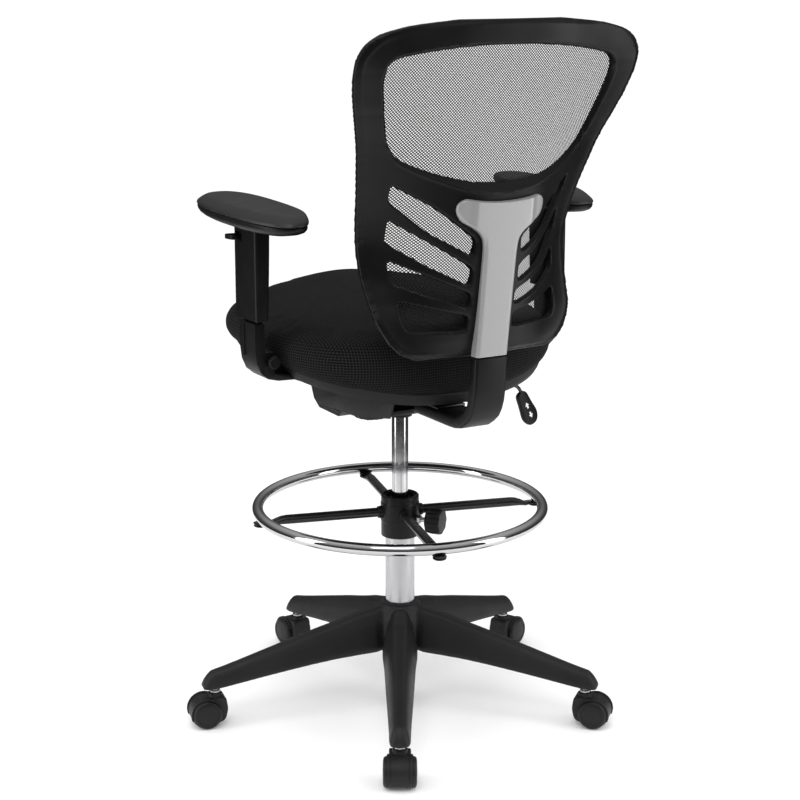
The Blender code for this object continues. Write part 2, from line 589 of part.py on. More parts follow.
def back_grid(columns, inset, front, rear):
    """A curved slab over the whole back; the surfaces lie front and rear of the rear face."""
    heights = [z + inset * 0.85 if z < 0.7 else z - inset * 0.85 if z > 1.17 else z
               for z in (row[0] for row in BACK_ROWS)]
    extra = [(a + b) / 2 for a, b in zip(heights, heights[1:]) if b - a > 0.035]
    form = bmesh.new()
    faces = []
    for off in (front, rear):
        grid = []
        for z in sorted(heights + extra):
            half = blended(BACK_ROWS, z)[2] - inset
            grid.append([form.verts.new((half * t, back_depth(half * t, z, off), z))
                         for t in (2.0 * k / columns - 1.0 for k in range(columns + 1))])
        faces.append(grid)
    for grid in faces:
        for low, high in zip(grid, grid[1:]):
            for k in range(columns):
                form.faces.new((low[k], low[k + 1], high[k + 1], high[k]))
    def border(grid):
        return (grid[0] + [row[-1] for row in grid[1:]] + grid[-1][-2::-1]
                + [row[0] for row in grid[-2:0:-1]])
    outer, inner = border(faces[0]), border(faces[1])
    for k in range(len(outer)):
        j = (k + 1) % len(outer)
        form.faces.new((outer[k], outer[j], inner[j], inner[k]))
    return form


WINDOW = [(0.000, 0.943), (0.050, 0.9475), (0.092, 0.957), (0.132, 0.971), (0.158, 0.986), (0.171, 1.004),
          (0.180, 1.030), (0.190, 1.065), (0.1965, 1.095), (0.1965, 1.112), (0.188, 1.124), (0.170, 1.131),
          (0.110, 1.140), (0.050, 1.1445), (0.000, 1.1455)]
SLOTS = [       # corners of the left half's openings, seen from behind
    [(0.156, 0.9370), (0.155, 0.9140), (0.104, 0.8660), (0.0430, 0.8300), (0.0400, 0.8550), (0.103, 0.9040)],
    [(0.151, 0.8840), (0.151, 0.8500), (0.101, 0.8145), (0.0430, 0.7835), (0.0400, 0.8100), (0.098, 0.8475)],
    [(0.147, 0.8210), (0.147, 0.8030), (0.143, 0.7890), (0.100, 0.7705), (0.0400, 0.7490), (0.0390, 0.7700)],
    [(0.141, 0.7640), (0.138, 0.7300), (0.130, 0.7175), (0.0415, 0.7140), (0.0390, 0.7385)],
]


def make_back(body):
    slab = back_grid(BACK_COLUMNS, 0.0, FRAME_WALL, 0.0)
    mirrored = [(-x, z) for x, z in reversed(WINDOW[1:-1])]
    cutters = [prism(WINDOW + mirrored, 1, 0.1, 0.5)]
    for corners in SLOTS:
        outline = rounded(corners, 0.006, 1)
        cutters.append(prism(outline, 1, 0.1, 0.5))
        cutters.append(prism([(-x, z) for x, z in outline], 1, 0.1, 0.5))
    form = combine(slab, cutters, "DIFFERENCE")
    finish("back_frame", form, body, "satin_plastic")
    near = FRAME_WALL + 2.5 * CLEARANCE
    finish("back_mesh", back_grid(BACK_COLUMNS, 0.006, near + MESH_WALL, near), body, "back_mesh")


def bar_rear(z):
    """Rear face of the back's stem at a height."""
    return 0.2845 + 0.132 * (z - 0.673)


def make_t_bar(body):
    """A T of two thicknesses: a straight stem, and lobes that follow the back's curve."""
    half = [(BAR_HALF, 0.673), (BAR_HALF + 0.0005, 0.760), (BAR_HALF + 0.002, 0.850), (0.0340, 0.864),
            (0.0500, 0.8780), (0.0680, 0.8880), (0.0755, 0.8980), (0.0765, 0.9080), (0.0720, 0.9200)]
    form = bmesh.new()
    columns = 10
    grid = []
    for reach, z in half:
        row_rear, row_front = [], []
        for k in range(columns + 1):
            t = 2.0 * k / columns - 1.0
            x = reach * t
            top = z if z < 0.915 else z - 0.0055 * (1 - t * t)
            seat = back_depth(x, top) + 4 * GAP
            proud = min(bar_rear(top), seat + 0.0200 - 0.0140 * min(1.0, max(0.0, (abs(x) - 0.028) / 0.03)))
            edge = 0.0030 * max(0.0, abs(t) - 0.85) / 0.15
            row_rear.append(form.verts.new((x, max(proud - edge, seat + 0.0030), top)))
            row_front.append(form.verts.new((x, max(seat, proud - BAR_WALL), top)))
        grid.append((row_rear, row_front))
    for (rear_a, front_a), (rear_b, front_b) in zip(grid, grid[1:]):
        for k in range(columns):
            form.faces.new((rear_a[k], rear_a[k + 1], rear_b[k + 1], rear_b[k]))
            form.faces.new((front_a[k], front_a[k + 1], front_b[k + 1], front_b[k]))
        for k in (0, columns):
            form.faces.new((rear_a[k], rear_b[k], front_b[k], front_a[k]))
    for rear, front in (grid[0], grid[-1]):
        for k in range(columns):
            form.faces.new((rear[k], rear[k + 1], front[k + 1], front[k]))
    finish("t_bar", form, body, "silver")


def make_bracket(body):
    """The black J under the stem: down, round and forward to the seat plate; rows are y, z and slope."""
    rings = []
    rows = [(bar_rear(0.6710) - 0.0100, 0.6710, 82.0), (0.2722, 0.6400, 82.0), (0.2700, 0.6150, 81.0),
            (0.2635, 0.5890, 66.0), (0.2455, 0.5680, 35.0), (0.2180, 0.5570, 8.0), (0.1850, 0.5560, 0.0),
            (0.0960, 0.5560, 0.0)]
    for y, z, slope in rows:
        normal = (math.sin(math.radians(slope)), -math.cos(math.radians(slope)))
        half = BAR_HALF + 0.001
        thick = 0.0098
        ring = []
        for x, n in ((-half, -0.75), (-half + 0.003, -1.0), (half - 0.003, -1.0), (half, -0.75),
                     (half, 0.6), (half - 0.004, 1.0), (-half + 0.004, 1.0), (-half, 0.6)):
            ring.append((x, y + normal[0] * n * thick, z + normal[1] * n * thick))
        rings.append(ring)
    finish("back_bracket", loft(rings), body, "satin_plastic")


# ---- arms -----------------------------------------------------------------------------------------------
def mirrored_form(form, side):
    """Keep a form drawn for the left arm, or mirror it for the right one."""
    return form if side > 0 else moved(form, Matrix.Scale(-1, 4, (1, 0, 0)))


def arm_bracket_form():
    """An L from under the seat, round the corner and up, with the post that the sleeve slides on."""
    face, low = ARM_X + 0.0120, ARM_LOW
    lines = [(face, low - 0.0200), (face, low - 0.0480), (face - 0.0025, low - 0.0680),
             (face - 0.0100, low - 0.0850), (face - 0.0220, low - 0.0950), (face - 0.0400, low - 0.0995)]
    inner = [(face - 0.0400, low - 0.0890), (face - 0.0290, low - 0.0850), (face - 0.0220, low - 0.0770),
             (face - 0.0185, low - 0.0640), (face - 0.0170, low - 0.0480), (face - 0.0170, low - 0.0200)]
    front, rear = ARM_Y - 0.0270, ARM_Y + 0.0290
    top = [(x, shell_low(x, rear) - 0.0010) for x in (0.222, 0.205, 0.185, 0.160)]
    bottom = [(x, z - 0.0070) for x, z in top]
    strap = prism(lines + bottom + top[::-1] + inner, 1, front, rear)
    post = block((ARM_X - 0.0045, ARM_Y - 0.0240, low - 0.0300), (ARM_X + 0.0045, ARM_Y + 0.0240, low + 0.1000))
    rib = block((face - 0.0050, ARM_Y - 0.0130, low - 0.0600), (face + 0.0020, ARM_Y - 0.0080, low - 0.0080))
    gusset = block((face - 0.0335, ARM_Y - 0.0070, low - 0.0900), (face - 0.0150, rear, low - 0.0520))
    head = block((face - 0.0170, front, low - 0.0250), (face, rear, low - 0.0050))
    return combine(strap, [post, rib, gusset, head], "UNION")


def sleeve_form():
    """A flat tube over the post, thinner at its lower end, closed on top."""
    outside, inside = ARM_X + 0.0140, ARM_X - 0.0130
    front, rear = ARM_Y - 0.0400, ARM_Y + 0.0400
    outer = rounded([(outside, front), (outside, rear), (inside, rear), (inside, front)], 0.005, 2)
    rings = []
    for z, pinch, fall in ((ARM_LOW, 0.18, 0.0), (0.790, 0.06, 0.0), (PAD_BASE - 2 * GAP, 0.0, PAD_FALL)):
        rings.append([(x + (outside - x) * pinch, y, z - fall * (y - PAD_Y)) for x, y in outer])
    hollow = block((ARM_X - 0.0055, ARM_Y - 0.0250, 0.70), (ARM_X + 0.0055, ARM_Y + 0.0250, 0.8500))
    return combine(loft(rings), [hollow], "DIFFERENCE")


def pad_outline(scale, count=22):
    made = []
    for k in range(count):
        a = 2 * math.pi * k / count
        c, s = math.cos(a), math.sin(a)
        reach = scale / (abs(c) ** 2.6 + abs(s) ** 2.6) ** (1 / 2.6)
        made.append((PAD_WIDTH / 2 * reach * c * (1.0 - 0.06 * s), PAD_LENGTH / 2 * reach * s))
    return made


def pad_form(levels):
    """Stacked outlines (height, scale), toed out about the arm."""
    return moved(loft([[(x, y, z - PAD_FALL * y) for x, y in pad_outline(scale)] for z, scale in levels]),
                 Matrix.Translation((PAD_X, PAD_Y, PAD_BASE)) @ turned_to(PAD_TOE_OUT))


def make_arm(side, seat, arm, trigger, knob):
    name = "left" if side > 0 else "right"
    finish(f"arm_{name}_bracket", mirrored_form(arm_bracket_form(), side), seat, "satin_plastic")
    face = ARM_X + 0.0140
    tab_hole = block((face - 0.0075, ARM_Y - 0.0375, 0.8370), (face + 0.0020, ARM_Y - 0.0105, 0.8510))
    sleeve = combine(sleeve_form(), [tab_hole], "DIFFERENCE")
    finish(f"arm_{name}_sleeve", mirrored_form(sleeve, side), arm, "satin_plastic")
    base = pad_form([(0.0, 0.70), (0.0025, 0.90), (0.0075, 0.975), (0.0130, 0.985)])
    finish(f"arm_{name}_pad_base", mirrored_form(base, side), arm, "satin_plastic")
    pad = pad_form([(0.0133, 0.965), (0.0160, 1.0), (0.0215, 1.0), (0.0265, 0.955), (0.0305, 0.86),
                    (0.0335, 0.60), (0.0345, 0.25)])
    finish(f"arm_{name}_pad", mirrored_form(pad, side), arm, "pad")
    tab = prism(rounded([(face - 0.0025, ARM_Y - 0.0350), (face + 0.0160, ARM_Y - 0.0370),
                         (face + 0.0180, ARM_Y - 0.0310), (face + 0.0140, ARM_Y - 0.0130),
                         (face - 0.0025, ARM_Y - 0.0120)], 0.003, 2), 2, 0.8395, 0.8470)
    finish(f"arm_{name}_trigger", mirrored_form(tab, side), trigger, "satin_plastic")
    grip = turned([(0.0085, 0.0), (0.0105, 0.0015), (0.0105, 0.0100), (0.0085, 0.0120)], 16)
    grip = moved(grip, Matrix.Translation((KNOB_X, ARM_Y + 0.0290 + GAP + 0.0120, KNOB_Z))
                 @ Matrix.Rotation(math.radians(90), 4, "X"))
    finish(f"arm_{name}_knob", mirrored_form(grip, side), knob, "satin_plastic")


# ---- assembly -------------------------------------------------------------------------------------------
def main():
    chair = make_body("chair", (0.0, 0.0, 0.0))
    base = make_body("base", (0.0, 0.0, 0.0), chair)
    make_base(base)
    make_column(base)
    make_casters(base)
    spindle = make_body("spindle", (0.0, 0.0, 0.0), base)
    lift = make_body("lift", (0.0, 0.0, 0.0), spindle)
    valve = make_body("valve", (0.0, 0.0, CYLINDER_TOP), lift)
    make_lift(spindle, lift, valve)
    make_housing(lift)
    make_tension(lift, make_body("tension", (0.0, TENSION_Y, 0.5), lift))
    lock = make_body("lock", (LEVER_PIVOT_X, 0.0, LEVER_Z), lift)
    make_lever(lock, make_body("lever", (LEVER_PIVOT_X, 0.0, LEVER_Z), lock))
    ring = make_body("foot_rest", (0.0, 0.0, RING_HEIGHT), base)
    make_foot_ring(ring, make_body("foot_rest_knob", tuple(knob_frame() @ Vector((0, 0, 0.053))), ring))
    seat = make_body("seat", (0.0, TILT_Y, TILT_Z), lift)
    make_seat(seat)
    make_back(seat)
    make_t_bar(seat)
    make_bracket(seat)
    for side, name in ((1, "left"), (-1, "right")):
        arm = make_body(f"arm_{name}", (side * ARM_X, ARM_Y, ARM_LOW), seat)
        trigger = make_body(f"trigger_{name}", (side * (ARM_X + 0.0140), ARM_Y - 0.0240, 0.8420), arm)
        knob = make_body(f"knob_{name}", (side * KNOB_X, ARM_Y + 0.0350, KNOB_Z), seat)
        make_arm(side, seat, arm, trigger, knob)
    chair.location = (COLUMN_X, COLUMN_Y, -FLOOR)


clear_scene()
MATERIALS = make_materials()
main()
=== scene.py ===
"""Looks for the drafting chair: the fine surfaces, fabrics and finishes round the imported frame.

Metres, +Z up. The sitter faces -Y, so +X is the sitter's left. Shapes are written about the column's axis and
above the frame's datum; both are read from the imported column, and piece() moves every shape there.
"""

from bisect import bisect_right
from math import atan2, cos, hypot, pi, radians, sin, sqrt

import bmesh
import bpy
from mathutils import Matrix, Vector


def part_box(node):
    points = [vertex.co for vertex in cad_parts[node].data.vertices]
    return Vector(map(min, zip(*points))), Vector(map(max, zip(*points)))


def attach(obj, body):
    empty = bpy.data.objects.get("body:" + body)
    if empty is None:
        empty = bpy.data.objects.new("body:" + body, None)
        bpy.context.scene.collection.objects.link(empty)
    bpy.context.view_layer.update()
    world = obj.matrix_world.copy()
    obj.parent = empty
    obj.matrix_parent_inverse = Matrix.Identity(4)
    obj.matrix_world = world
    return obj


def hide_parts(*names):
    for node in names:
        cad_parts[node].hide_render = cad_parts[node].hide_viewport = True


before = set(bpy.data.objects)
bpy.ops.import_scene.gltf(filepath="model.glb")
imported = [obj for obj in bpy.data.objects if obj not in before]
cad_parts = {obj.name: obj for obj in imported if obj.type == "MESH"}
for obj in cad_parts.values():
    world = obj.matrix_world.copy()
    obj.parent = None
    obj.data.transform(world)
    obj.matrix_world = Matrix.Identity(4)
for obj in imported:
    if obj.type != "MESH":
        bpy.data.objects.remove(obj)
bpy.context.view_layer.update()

# ---- places read from the frame --------
COLUMN_FOOT = 0.086                       # the column's lower end above the datum
column_low, column_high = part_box("column_tube")
AXIS = Vector(((column_low.x + column_high.x) / 2, (column_low.y + column_high.y) / 2,
               column_low.z - COLUMN_FOOT))
FLOOR = -AXIS.z
TO_FRAME = Matrix.Translation(AXIS)

# ---- driving dimensions, as in the frame --------
LEG_ANGLES = [60.0 + 72.0 * i for i in range(5)]
STEM_CIRCLE = 0.329
CASTER_TRAIL = 0.017
WHEEL_RADIUS = 0.0248
AXLE_HEIGHT = FLOOR + WHEEL_RADIUS
HOOD_HALF, TWIN_HALF = 0.0175, 0.027
RING_RADIUS, RING_TUBE, RING_HEIGHT = 0.242, 0.0095, 0.359
COLLAR_RADIUS, COLLAR_LOW, COLLAR_HIGH = 0.0322, 0.308, 0.377
SPOKE_ANGLES = [75.0 + 90.0 * i for i in range(4)]
SPOKE_HEIGHT, SPOKE_RADIUS = 0.350, 0.008
RING_KNOB_ANGLE, RING_KNOB_HEIGHT = 128.0, 0.3385
LEVER_Z = 0.554
TENSION_Y, TENSION_LOW = -0.098, 0.494
SEAT_HALF, SEAT_HALF_DEPTH, SEAT_CENTRE_Y, SEAT_POWER = 0.253, 0.246, -0.044, 3.0
SEAT_TAPER = 0.03
RIM_HEIGHT, RIM_RISE, RIM_SLOPE = 0.598, 0.038, 0.080
CROWN_HEIGHT, CROWN_SLOPE, CROWN_SIDE = 0.7145, 0.090, 0.016
SHELL_SHARE, SHELL_DEPTH, SHELL_WALL = 0.93, 0.022, 0.004
FRAME_WALL, NET_GAP = 0.014, 0.0030
BAR_HALF, BAR_WALL = 0.028, 0.018
ARM_X, ARM_Y, ARM_LOW = 0.278, 0.020, 0.7155
PAD_X, PAD_Y, PAD_BASE, PAD_FALL = 0.274, 0.012, 0.8675, 0.040
PAD_LENGTH, PAD_WIDTH, PAD_TOE_OUT = 0.295, 0.092, 5.0
PAD_SHARE = 0.95                          # the pad's length beside its node's
PAD_POWER, PAD_WAIST, PAD_SLOPE = 2.6, 0.06, 0.048
PAD_LEAN, PAD_LEAN_FROM = 0.55, 0.0165    # the pad's crown stands inboard of its foot
PAD_DROP = 0.002                          # the padded part sits a little into its tray
GAP = 0.0003


# ---- materials --------
def new_material(name, colour, roughness, metallic=0.0):
    """A Principled material and its shader node."""
    made = bpy.data.materials.new(name)
    made.use_nodes = True
    shader = made.node_tree.nodes["Principled BSDF"]
    settings(shader, Base_Color=(*colour, 1.0), Roughness=roughness, Metallic=metallic)
    return made, shader


def node(tree, kind, **values):
    made = tree.nodes.new(kind)
    for key, value in values.items():
        setattr(made, key, value)
    return made


def settings(made, **values):
    """Set a node's own sockets; an underscore stands for a space."""
    for key, value in values.items():
        made.inputs[key.replace("_", " ")].default_value = value


def noise(tree, scale, detail=3.0, roughness=0.55):
    place = node(tree, "ShaderNodeTexCoord")
    made = node(tree, "ShaderNodeTexNoise")
    settings(made, Scale=scale, Detail=detail, Roughness=roughness)
    tree.links.new(place.outputs["Object"], made.inputs["Vector"])
    return made.outputs["Fac"]


def ramp(tree, source, stops):
    """Read a value through colour stops (position, grey)."""
    made = node(tree, "ShaderNodeValToRGB")
    for i, (position, value) in enumerate(stops):
        stop = made.color_ramp.elements[i] if i < 2 else made.color_ramp.elements.new(position)
        stop.position = position
        stop.color = (*([value] * 3 if isinstance(value, float) else value), 1.0)
    tree.links.new(source, made.inputs["Fac"])
    return made.outputs["Color"]


def bump(tree, shader, height, strength, distance):
    made = node(tree, "ShaderNodeBump")
    settings(made, Strength=strength, Distance=distance)
    tree.links.new(height, made.inputs["Height"])
    tree.links.new(made.outputs["Normal"], shader.inputs["Normal"])


def moulded(name, colour, roughness, grain=900.0, depth=0.00012, drift=0.08, shine=0.28):
    """Moulded plastic: spark-eroded grain, with slow changes of gloss and of tone."""
    made, shader = new_material(name, colour, roughness)
    settings(shader, Specular_IOR_Level=shine)
    tree = made.node_tree
    bump(tree, shader, noise(tree, grain, 4.0, 0.7), 0.35, depth)
    gloss = ramp(tree, noise(tree, 14.0, 5.0), [(0.3, roughness - drift), (0.72, roughness + drift)])
    tree.links.new(gloss, shader.inputs["Roughness"])
    dark, light = [c * 0.85 for c in colour], [c * 1.18 for c in colour]
    tone = ramp(tree, noise(tree, 7.0, 4.0), [(0.3, dark), (0.7, light)])
    tree.links.new(tone, shader.inputs["Base Color"])
    return made


def metal(name, colour, roughness, drift=0.02):
    made, shader = new_material(name, colour, roughness, 1.0)
    tree = made.node_tree
    stops = [(0.35, roughness - drift), (0.7, roughness + drift)]
    tree.links.new(ramp(tree, noise(tree, 60.0, 6.0), stops), shader.inputs["Roughness"])
    return made


def silver_paint(name):
    """Silver lacquer with a fine metal flake."""
    made, shader = new_material(name, (0.27, 0.27, 0.275), 0.36, 0.35)
    tree = made.node_tree
    flake = ramp(tree, noise(tree, 2600.0, 2.0), [(0.35, 0.25), (0.66, 0.33)])
    tree.links.new(flake, shader.inputs["Base Color"])
    bump(tree, shader, noise(tree, 500.0, 3.0), 0.12, 0.0001)
    return made


def crest(tree, source, pitch):
    """A wave between 0 and 1 along one coordinate, once a thread."""
    turn = math_node(tree, "MULTIPLY", source, pi / pitch)
    wave = math_node(tree, "SINE", turn, 0.0)
    return math_node(tree, "ABSOLUTE", wave, 0.0)


def math_node(tree, operation, first, second):
    made = node(tree, "ShaderNodeMath", operation=operation)
    for socket, value in zip(made.inputs, (first, second)):
        if isinstance(value, float):
            socket.default_value = value
        else:
            tree.links.new(value, socket)
    return made.outputs[0]


def lattice(tree, pitch):
    """A square grid of threads on whichever way a surface faces: near 1 on a thread, 0 in a hole."""
    place = node(tree, "ShaderNodeTexCoord")
    split = node(tree, "ShaderNodeSeparateXYZ")
    facing = node(tree, "ShaderNodeSeparateXYZ")
    tree.links.new(place.outputs["Object"], split.inputs["Vector"])
    tree.links.new(place.outputs["Normal"], facing.inputs["Vector"])
    waves = [crest(tree, split.outputs[axis], pitch) for axis in "XYZ"]
    total, share = 0.0, 0.0
    for i, axis in enumerate("XYZ"):
        size = math_node(tree, "ABSOLUTE", facing.outputs[axis], 0.0)
        weight = math_node(tree, "POWER", size, 6.0)
        grid = math_node(tree, "MULTIPLY", waves[(i + 1) % 3], waves[(i + 2) % 3])
        total = math_node(tree, "ADD", math_node(tree, "MULTIPLY", grid, weight), total)
        share = math_node(tree, "ADD", weight, share)
    return math_node(tree, "DIVIDE", total, share)


def spacer_mesh(name):
    """Thick knitted seat mesh: a fine grid of holes with painted shade in them, and a soft sheen."""
    made, shader = new_material(name, (0.005, 0.005, 0.0055), 0.85)
    tree = made.node_tree
    holes = lattice(tree, 0.0042)
    bump(tree, shader, holes, 0.55, 0.0008)
    # painted shade: the holes are coloured far darker than the threads, as if shade fell into them
    tone = ramp(tree, holes, [(0.05, (0.015, 0.015, 0.0155)), (0.55, (0.0016, 0.0016, 0.0017))])
    tree.links.new(tone, shader.inputs["Base Color"])
    settings(shader, Specular_IOR_Level=0.1, Sheen_Weight=0.012, Sheen_Roughness=0.4)
    return made


def padding(name):
    """Soft-touch polyurethane with a pebbled skin."""
    made, shader = new_material(name, (0.009, 0.009, 0.0095), 0.46)
    tree = made.node_tree
    place = node(tree, "ShaderNodeTexCoord")
    cells = node(tree, "ShaderNodeTexVoronoi", feature="SMOOTH_F1")
    settings(cells, Scale=620.0)
    tree.links.new(place.outputs["Object"], cells.inputs["Vector"])
    bump(tree, shader, cells.outputs["Distance"], 0.3, 0.00025)
    gloss = ramp(tree, noise(tree, 18.0, 5.0), [(0.3, 0.4), (0.72, 0.54)])
    tree.links.new(gloss, shader.inputs["Roughness"])
    return made


SKINS = {
    "nylon": moulded("nylon", (0.0085, 0.0085, 0.009), 0.52, 700.0, 0.0002),
    "satin_plastic": moulded("satin_plastic", (0.0036, 0.0036, 0.0039), 0.4, shine=0.2),
    "shell_plastic": moulded("shell_plastic", (0.009, 0.009, 0.0094), 0.56, 600.0, 0.0002, shine=0.2),
    "tread": moulded("tread", (0.006, 0.006, 0.0063), 0.42),
    "chrome": metal("chrome", (0.53, 0.53, 0.54), 0.07, 0.012),
    "satin_chrome": metal("satin_chrome", (0.46, 0.46, 0.47), 0.3, 0.03),
    "dark_chrome": metal("dark_chrome", (0.5, 0.5, 0.51), 0.13, 0.02),
    "steel": metal("steel", (0.45, 0.45, 0.46), 0.32, 0.06),
    "painted_steel": moulded("painted_steel", (0.005, 0.005, 0.0053), 0.26, 400.0, 0.00006, shine=0.45),
    "silver": silver_paint("silver"),
    "seat_fabric": spacer_mesh("seat_fabric"),
    "back_mesh": moulded("back_mesh", (0.005, 0.005, 0.0055), 0.62),
    "pad": padding("pad"),
    "marking": moulded("marking", (0.62, 0.62, 0.62), 0.5),
}


# ---- forms --------
def mm(rows):
    """A table of lengths, written in millimetres."""
    return [tuple(value / 1000 for value in row) for row in rows]


def turn_steps(count):
    """The angles of a whole turn in equal steps."""
    return [2 * pi * k / count for k in range(count)]


def band(form, lower, upper):
    """Join two closed loops of points with faces."""
    count = len(lower)
    for i in range(count):
        j = (i + 1) % count
        form.faces.new((lower[i], lower[j], upper[j], upper[i]))


def loft(rings, closed=False):
    form = bmesh.new()
    loops = [[form.verts.new(point) for point in ring] for ring in rings]
    for lower, upper in zip(loops, loops[1:]):
        band(form, lower, upper)
    if closed:
        band(form, loops[-1], loops[0])
    else:
        form.faces.new(loops[0])
        form.faces.new(loops[-1])
    return form


def slab(front, rear):
    """One closed solid between two matching grids of points."""
    form = bmesh.new()
    rims = []
    for points in (front, rear):
        grid = [[form.verts.new(point) for point in row] for row in points]
        for low, high in zip(grid, grid[1:]):
            for k in range(len(low) - 1):
                form.faces.new((low[k], low[k + 1], high[k + 1], high[k]))
        rims.append(grid[0] + [row[-1] for row in grid[1:]] + grid[-1][-2::-1]
                    + [row[0] for row in grid[-2:0:-1]])
    band(form, *rims)
    return form


def turned(profile, segments, centre=(0.0, 0.0), closed=False):
    """A solid turned about a vertical axis from (radius, height) points."""
    x, y = centre
    return loft([[(x + r * cos(a), y + r * sin(a), z) for a in turn_steps(segments)]
                 for r, z in profile], closed)


def softened(profile, radius, steps=3, ends=True):
    """Round the corners of an open (radius, height) profile."""
    made = [profile[0]] if ends else []
    for i, corner in enumerate(profile[1:-1], 1):
        here, before, after = Vector(corner), Vector(profile[i - 1]), Vector(profile[i + 1])
        start = here + (before - here).normalized() * min(radius, (before - here).length * 0.45)
        end = here + (after - here).normalized() * min(radius, (after - here).length * 0.45)
        made += [tuple(start * (1 - t) ** 2 + here * (2 * t * (1 - t)) + end * t ** 2)
                 for t in (k / steps for k in range(steps + 1))]
    made.append(profile[-1])
    return made


def rounded(corners, radius, steps=4):
    """A closed outline whose corners become short curves of about the given reach."""
    doubled = [corners[-1], *corners, corners[0]]
    return softened(doubled, radius, steps, ends=False)[:-1]


def flipped(points):
    """The mirror image of (x, z) points, read backwards."""
    return [(-x, z) for x, z in reversed(points)]


def rounded_box(low, high, radius, steps):
    """The outline of a rectangle with rounded corners."""
    return rounded([low, (high[0], low[1]), high, (low[0], high[1])], radius, steps)


def spot(axis, depth, u, v):
    """A point of the plane across an axis, at a depth along it; axis 0, 1 or 2."""
    values = [u, v]
    values.insert(axis, depth)
    return values


def prism(outline, axis, low, high):
    """An outline in the plane across an axis, pulled along it."""
    return loft([[spot(axis, depth, u, v) for u, v in outline] for depth in (low, high)])


def soft_prism(outline, axis, low, high, edge):
    """A prism whose two rims are rounded by pulling the outline in towards its middle."""
    middle = Vector((sum(p[0] for p in outline), sum(p[1] for p in outline))) / len(outline)

    def ring(depth, inset):
        points = []
        for p in outline:
            away = Vector(p) - middle
            inward = middle + away * max(0.0, 1 - inset / max(away.length, inset))
            points.append(spot(axis, depth, *inward))
        return points
    rise = [(0.0, 1.0), (0.29, 0.29), (1.0, 0.0)]
    rings = [ring(low + edge * a, edge * b) for a, b in rise]
    rings += [ring(high - edge * a, edge * b) for a, b in reversed(rise)]
    return loft(rings)


def heading(points, i):
    """The direction of a path at one of its points."""
    return (points[min(i + 1, len(points) - 1)] - points[max(i - 1, 0)]).normalized()


def tube(path, radius, sides):
    points = [Vector(point) for point in path]
    rings = []
    side = heading(points, 0).orthogonal()
    for i, point in enumerate(points):
        ahead = heading(points, i)
        side = (side - ahead * side.dot(ahead)).normalized()
        other = ahead.cross(side)
        rings.append([point + radius * (cos(t) * side + sin(t) * other) for t in turn_steps(sides)])
    return loft(rings)


def moved(form, matrix):
    bmesh.ops.transform(form, matrix=matrix, verts=form.verts)
    return form


def turned_to(angle, axis="Z"):
    return Matrix.Rotation(radians(angle), 4, axis)


def across(form, place):
    """Lay a form turned about Z on its side, so its axis runs along Y at the given place."""
    return moved(form, Matrix.Translation(place) @ turned_to(90, "X"))


def between(values, i, t):
    """A value on the smooth curve through a row of values, a share of the way from one to the next."""
    b, c = values[i], values[i + 1]
    a = values[i - 1] if i else 2 * b - c
    d = values[i + 2] if i + 2 < len(values) else 2 * c - b
    return 0.5 * (2 * b + (c - a) * t + (2 * a - 5 * b + 4 * c - d) * t * t
                  + (3 * b - a - 3 * c + d) * t ** 3)


def curve_through(points, steps):
    """A smooth open curve through points of any size."""
    vectors = [Vector(p) for p in points]
    made = [between(vectors, i, k / steps) for i in range(len(vectors) - 1) for k in range(steps)]
    return made + [vectors[-1]]


def blended(rows, at):
    """Read a table of (at, value, ...) rows with smooth curves."""
    if at <= rows[0][0]:
        return rows[0][1:]
    if at >= rows[-1][0]:
        return rows[-1][1:]
    columns = list(zip(*rows))
    i = bisect_right(columns[0], at) - 1
    t = (at - rows[i][0]) / (rows[i + 1][0] - rows[i][0])
    return tuple(between(column, i, t) for column in columns[1:])


# ---- from forms to pieces --------
def to_mesh(name, form):
    bmesh.ops.recalc_face_normals(form, faces=form.faces)
    mesh = bpy.data.meshes.new(name)
    form.to_mesh(mesh)
    form.free()
    return mesh


def in_scene(name, data):
    made = bpy.data.objects.new(name, data)
    bpy.context.scene.collection.objects.link(made)
    return made


def loose(name, form):
    return in_scene(name, to_mesh(name, form))


def settle(obj):
    """Apply an object's modifiers."""
    graph = bpy.context.evaluated_depsgraph_get()
    graph.update()
    mesh = bpy.data.meshes.new_from_object(obj.evaluated_get(graph))
    obj.modifiers.clear()
    obj.data = mesh


def cut(obj, *forms):
    """Take all forms away from an object at once."""
    tool = loose("tool", joined(forms))
    modifier = obj.modifiers.new("cut", "BOOLEAN")
    modifier.operation = "DIFFERENCE"
    modifier.object = tool
    settle(obj)
    bpy.data.objects.remove(tool, do_unlink=True)


def fuse(obj, voxel, rounds):
    """Melt overlapping closed shells into one skin with soft inner and outer corners."""
    remesh = obj.modifiers.new("melt", "REMESH")
    remesh.mode = "VOXEL"
    remesh.voxel_size = voxel
    ease = obj.modifiers.new("ease", "SMOOTH")
    ease.iterations = rounds
    settle(obj)


def joined(forms):
    """Several forms as one bmesh, not yet united."""
    whole = bmesh.new()
    for form in forms:
        mesh = to_mesh("part", form)
        whole.from_mesh(mesh)
        bpy.data.meshes.remove(mesh)
    return whole


def piece(obj, body, skin, *nodes, angle=35.0):
    """Place an object in the frame, give it its finish, and make it ride in its nodes' stead."""
    obj.data.transform(TO_FRAME)
    obj.data.materials.clear()
    obj.data.materials.append(SKINS[skin])
    obj.data.shade_smooth()
    obj.data.set_sharp_from_angle(angle=radians(angle))
    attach(obj, body)
    if nodes:
        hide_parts(*nodes)
    return obj


def make(name, form, body, skin, *nodes, angle=35.0):
    return piece(loose(name, form), body, skin, *nodes, angle=angle)


def remake(name, form, body, skin, angle=35.0):
    """Make the piece that stands for the node of this name."""
    return make(f"{name}_skin", form, body, skin, name, angle=angle)


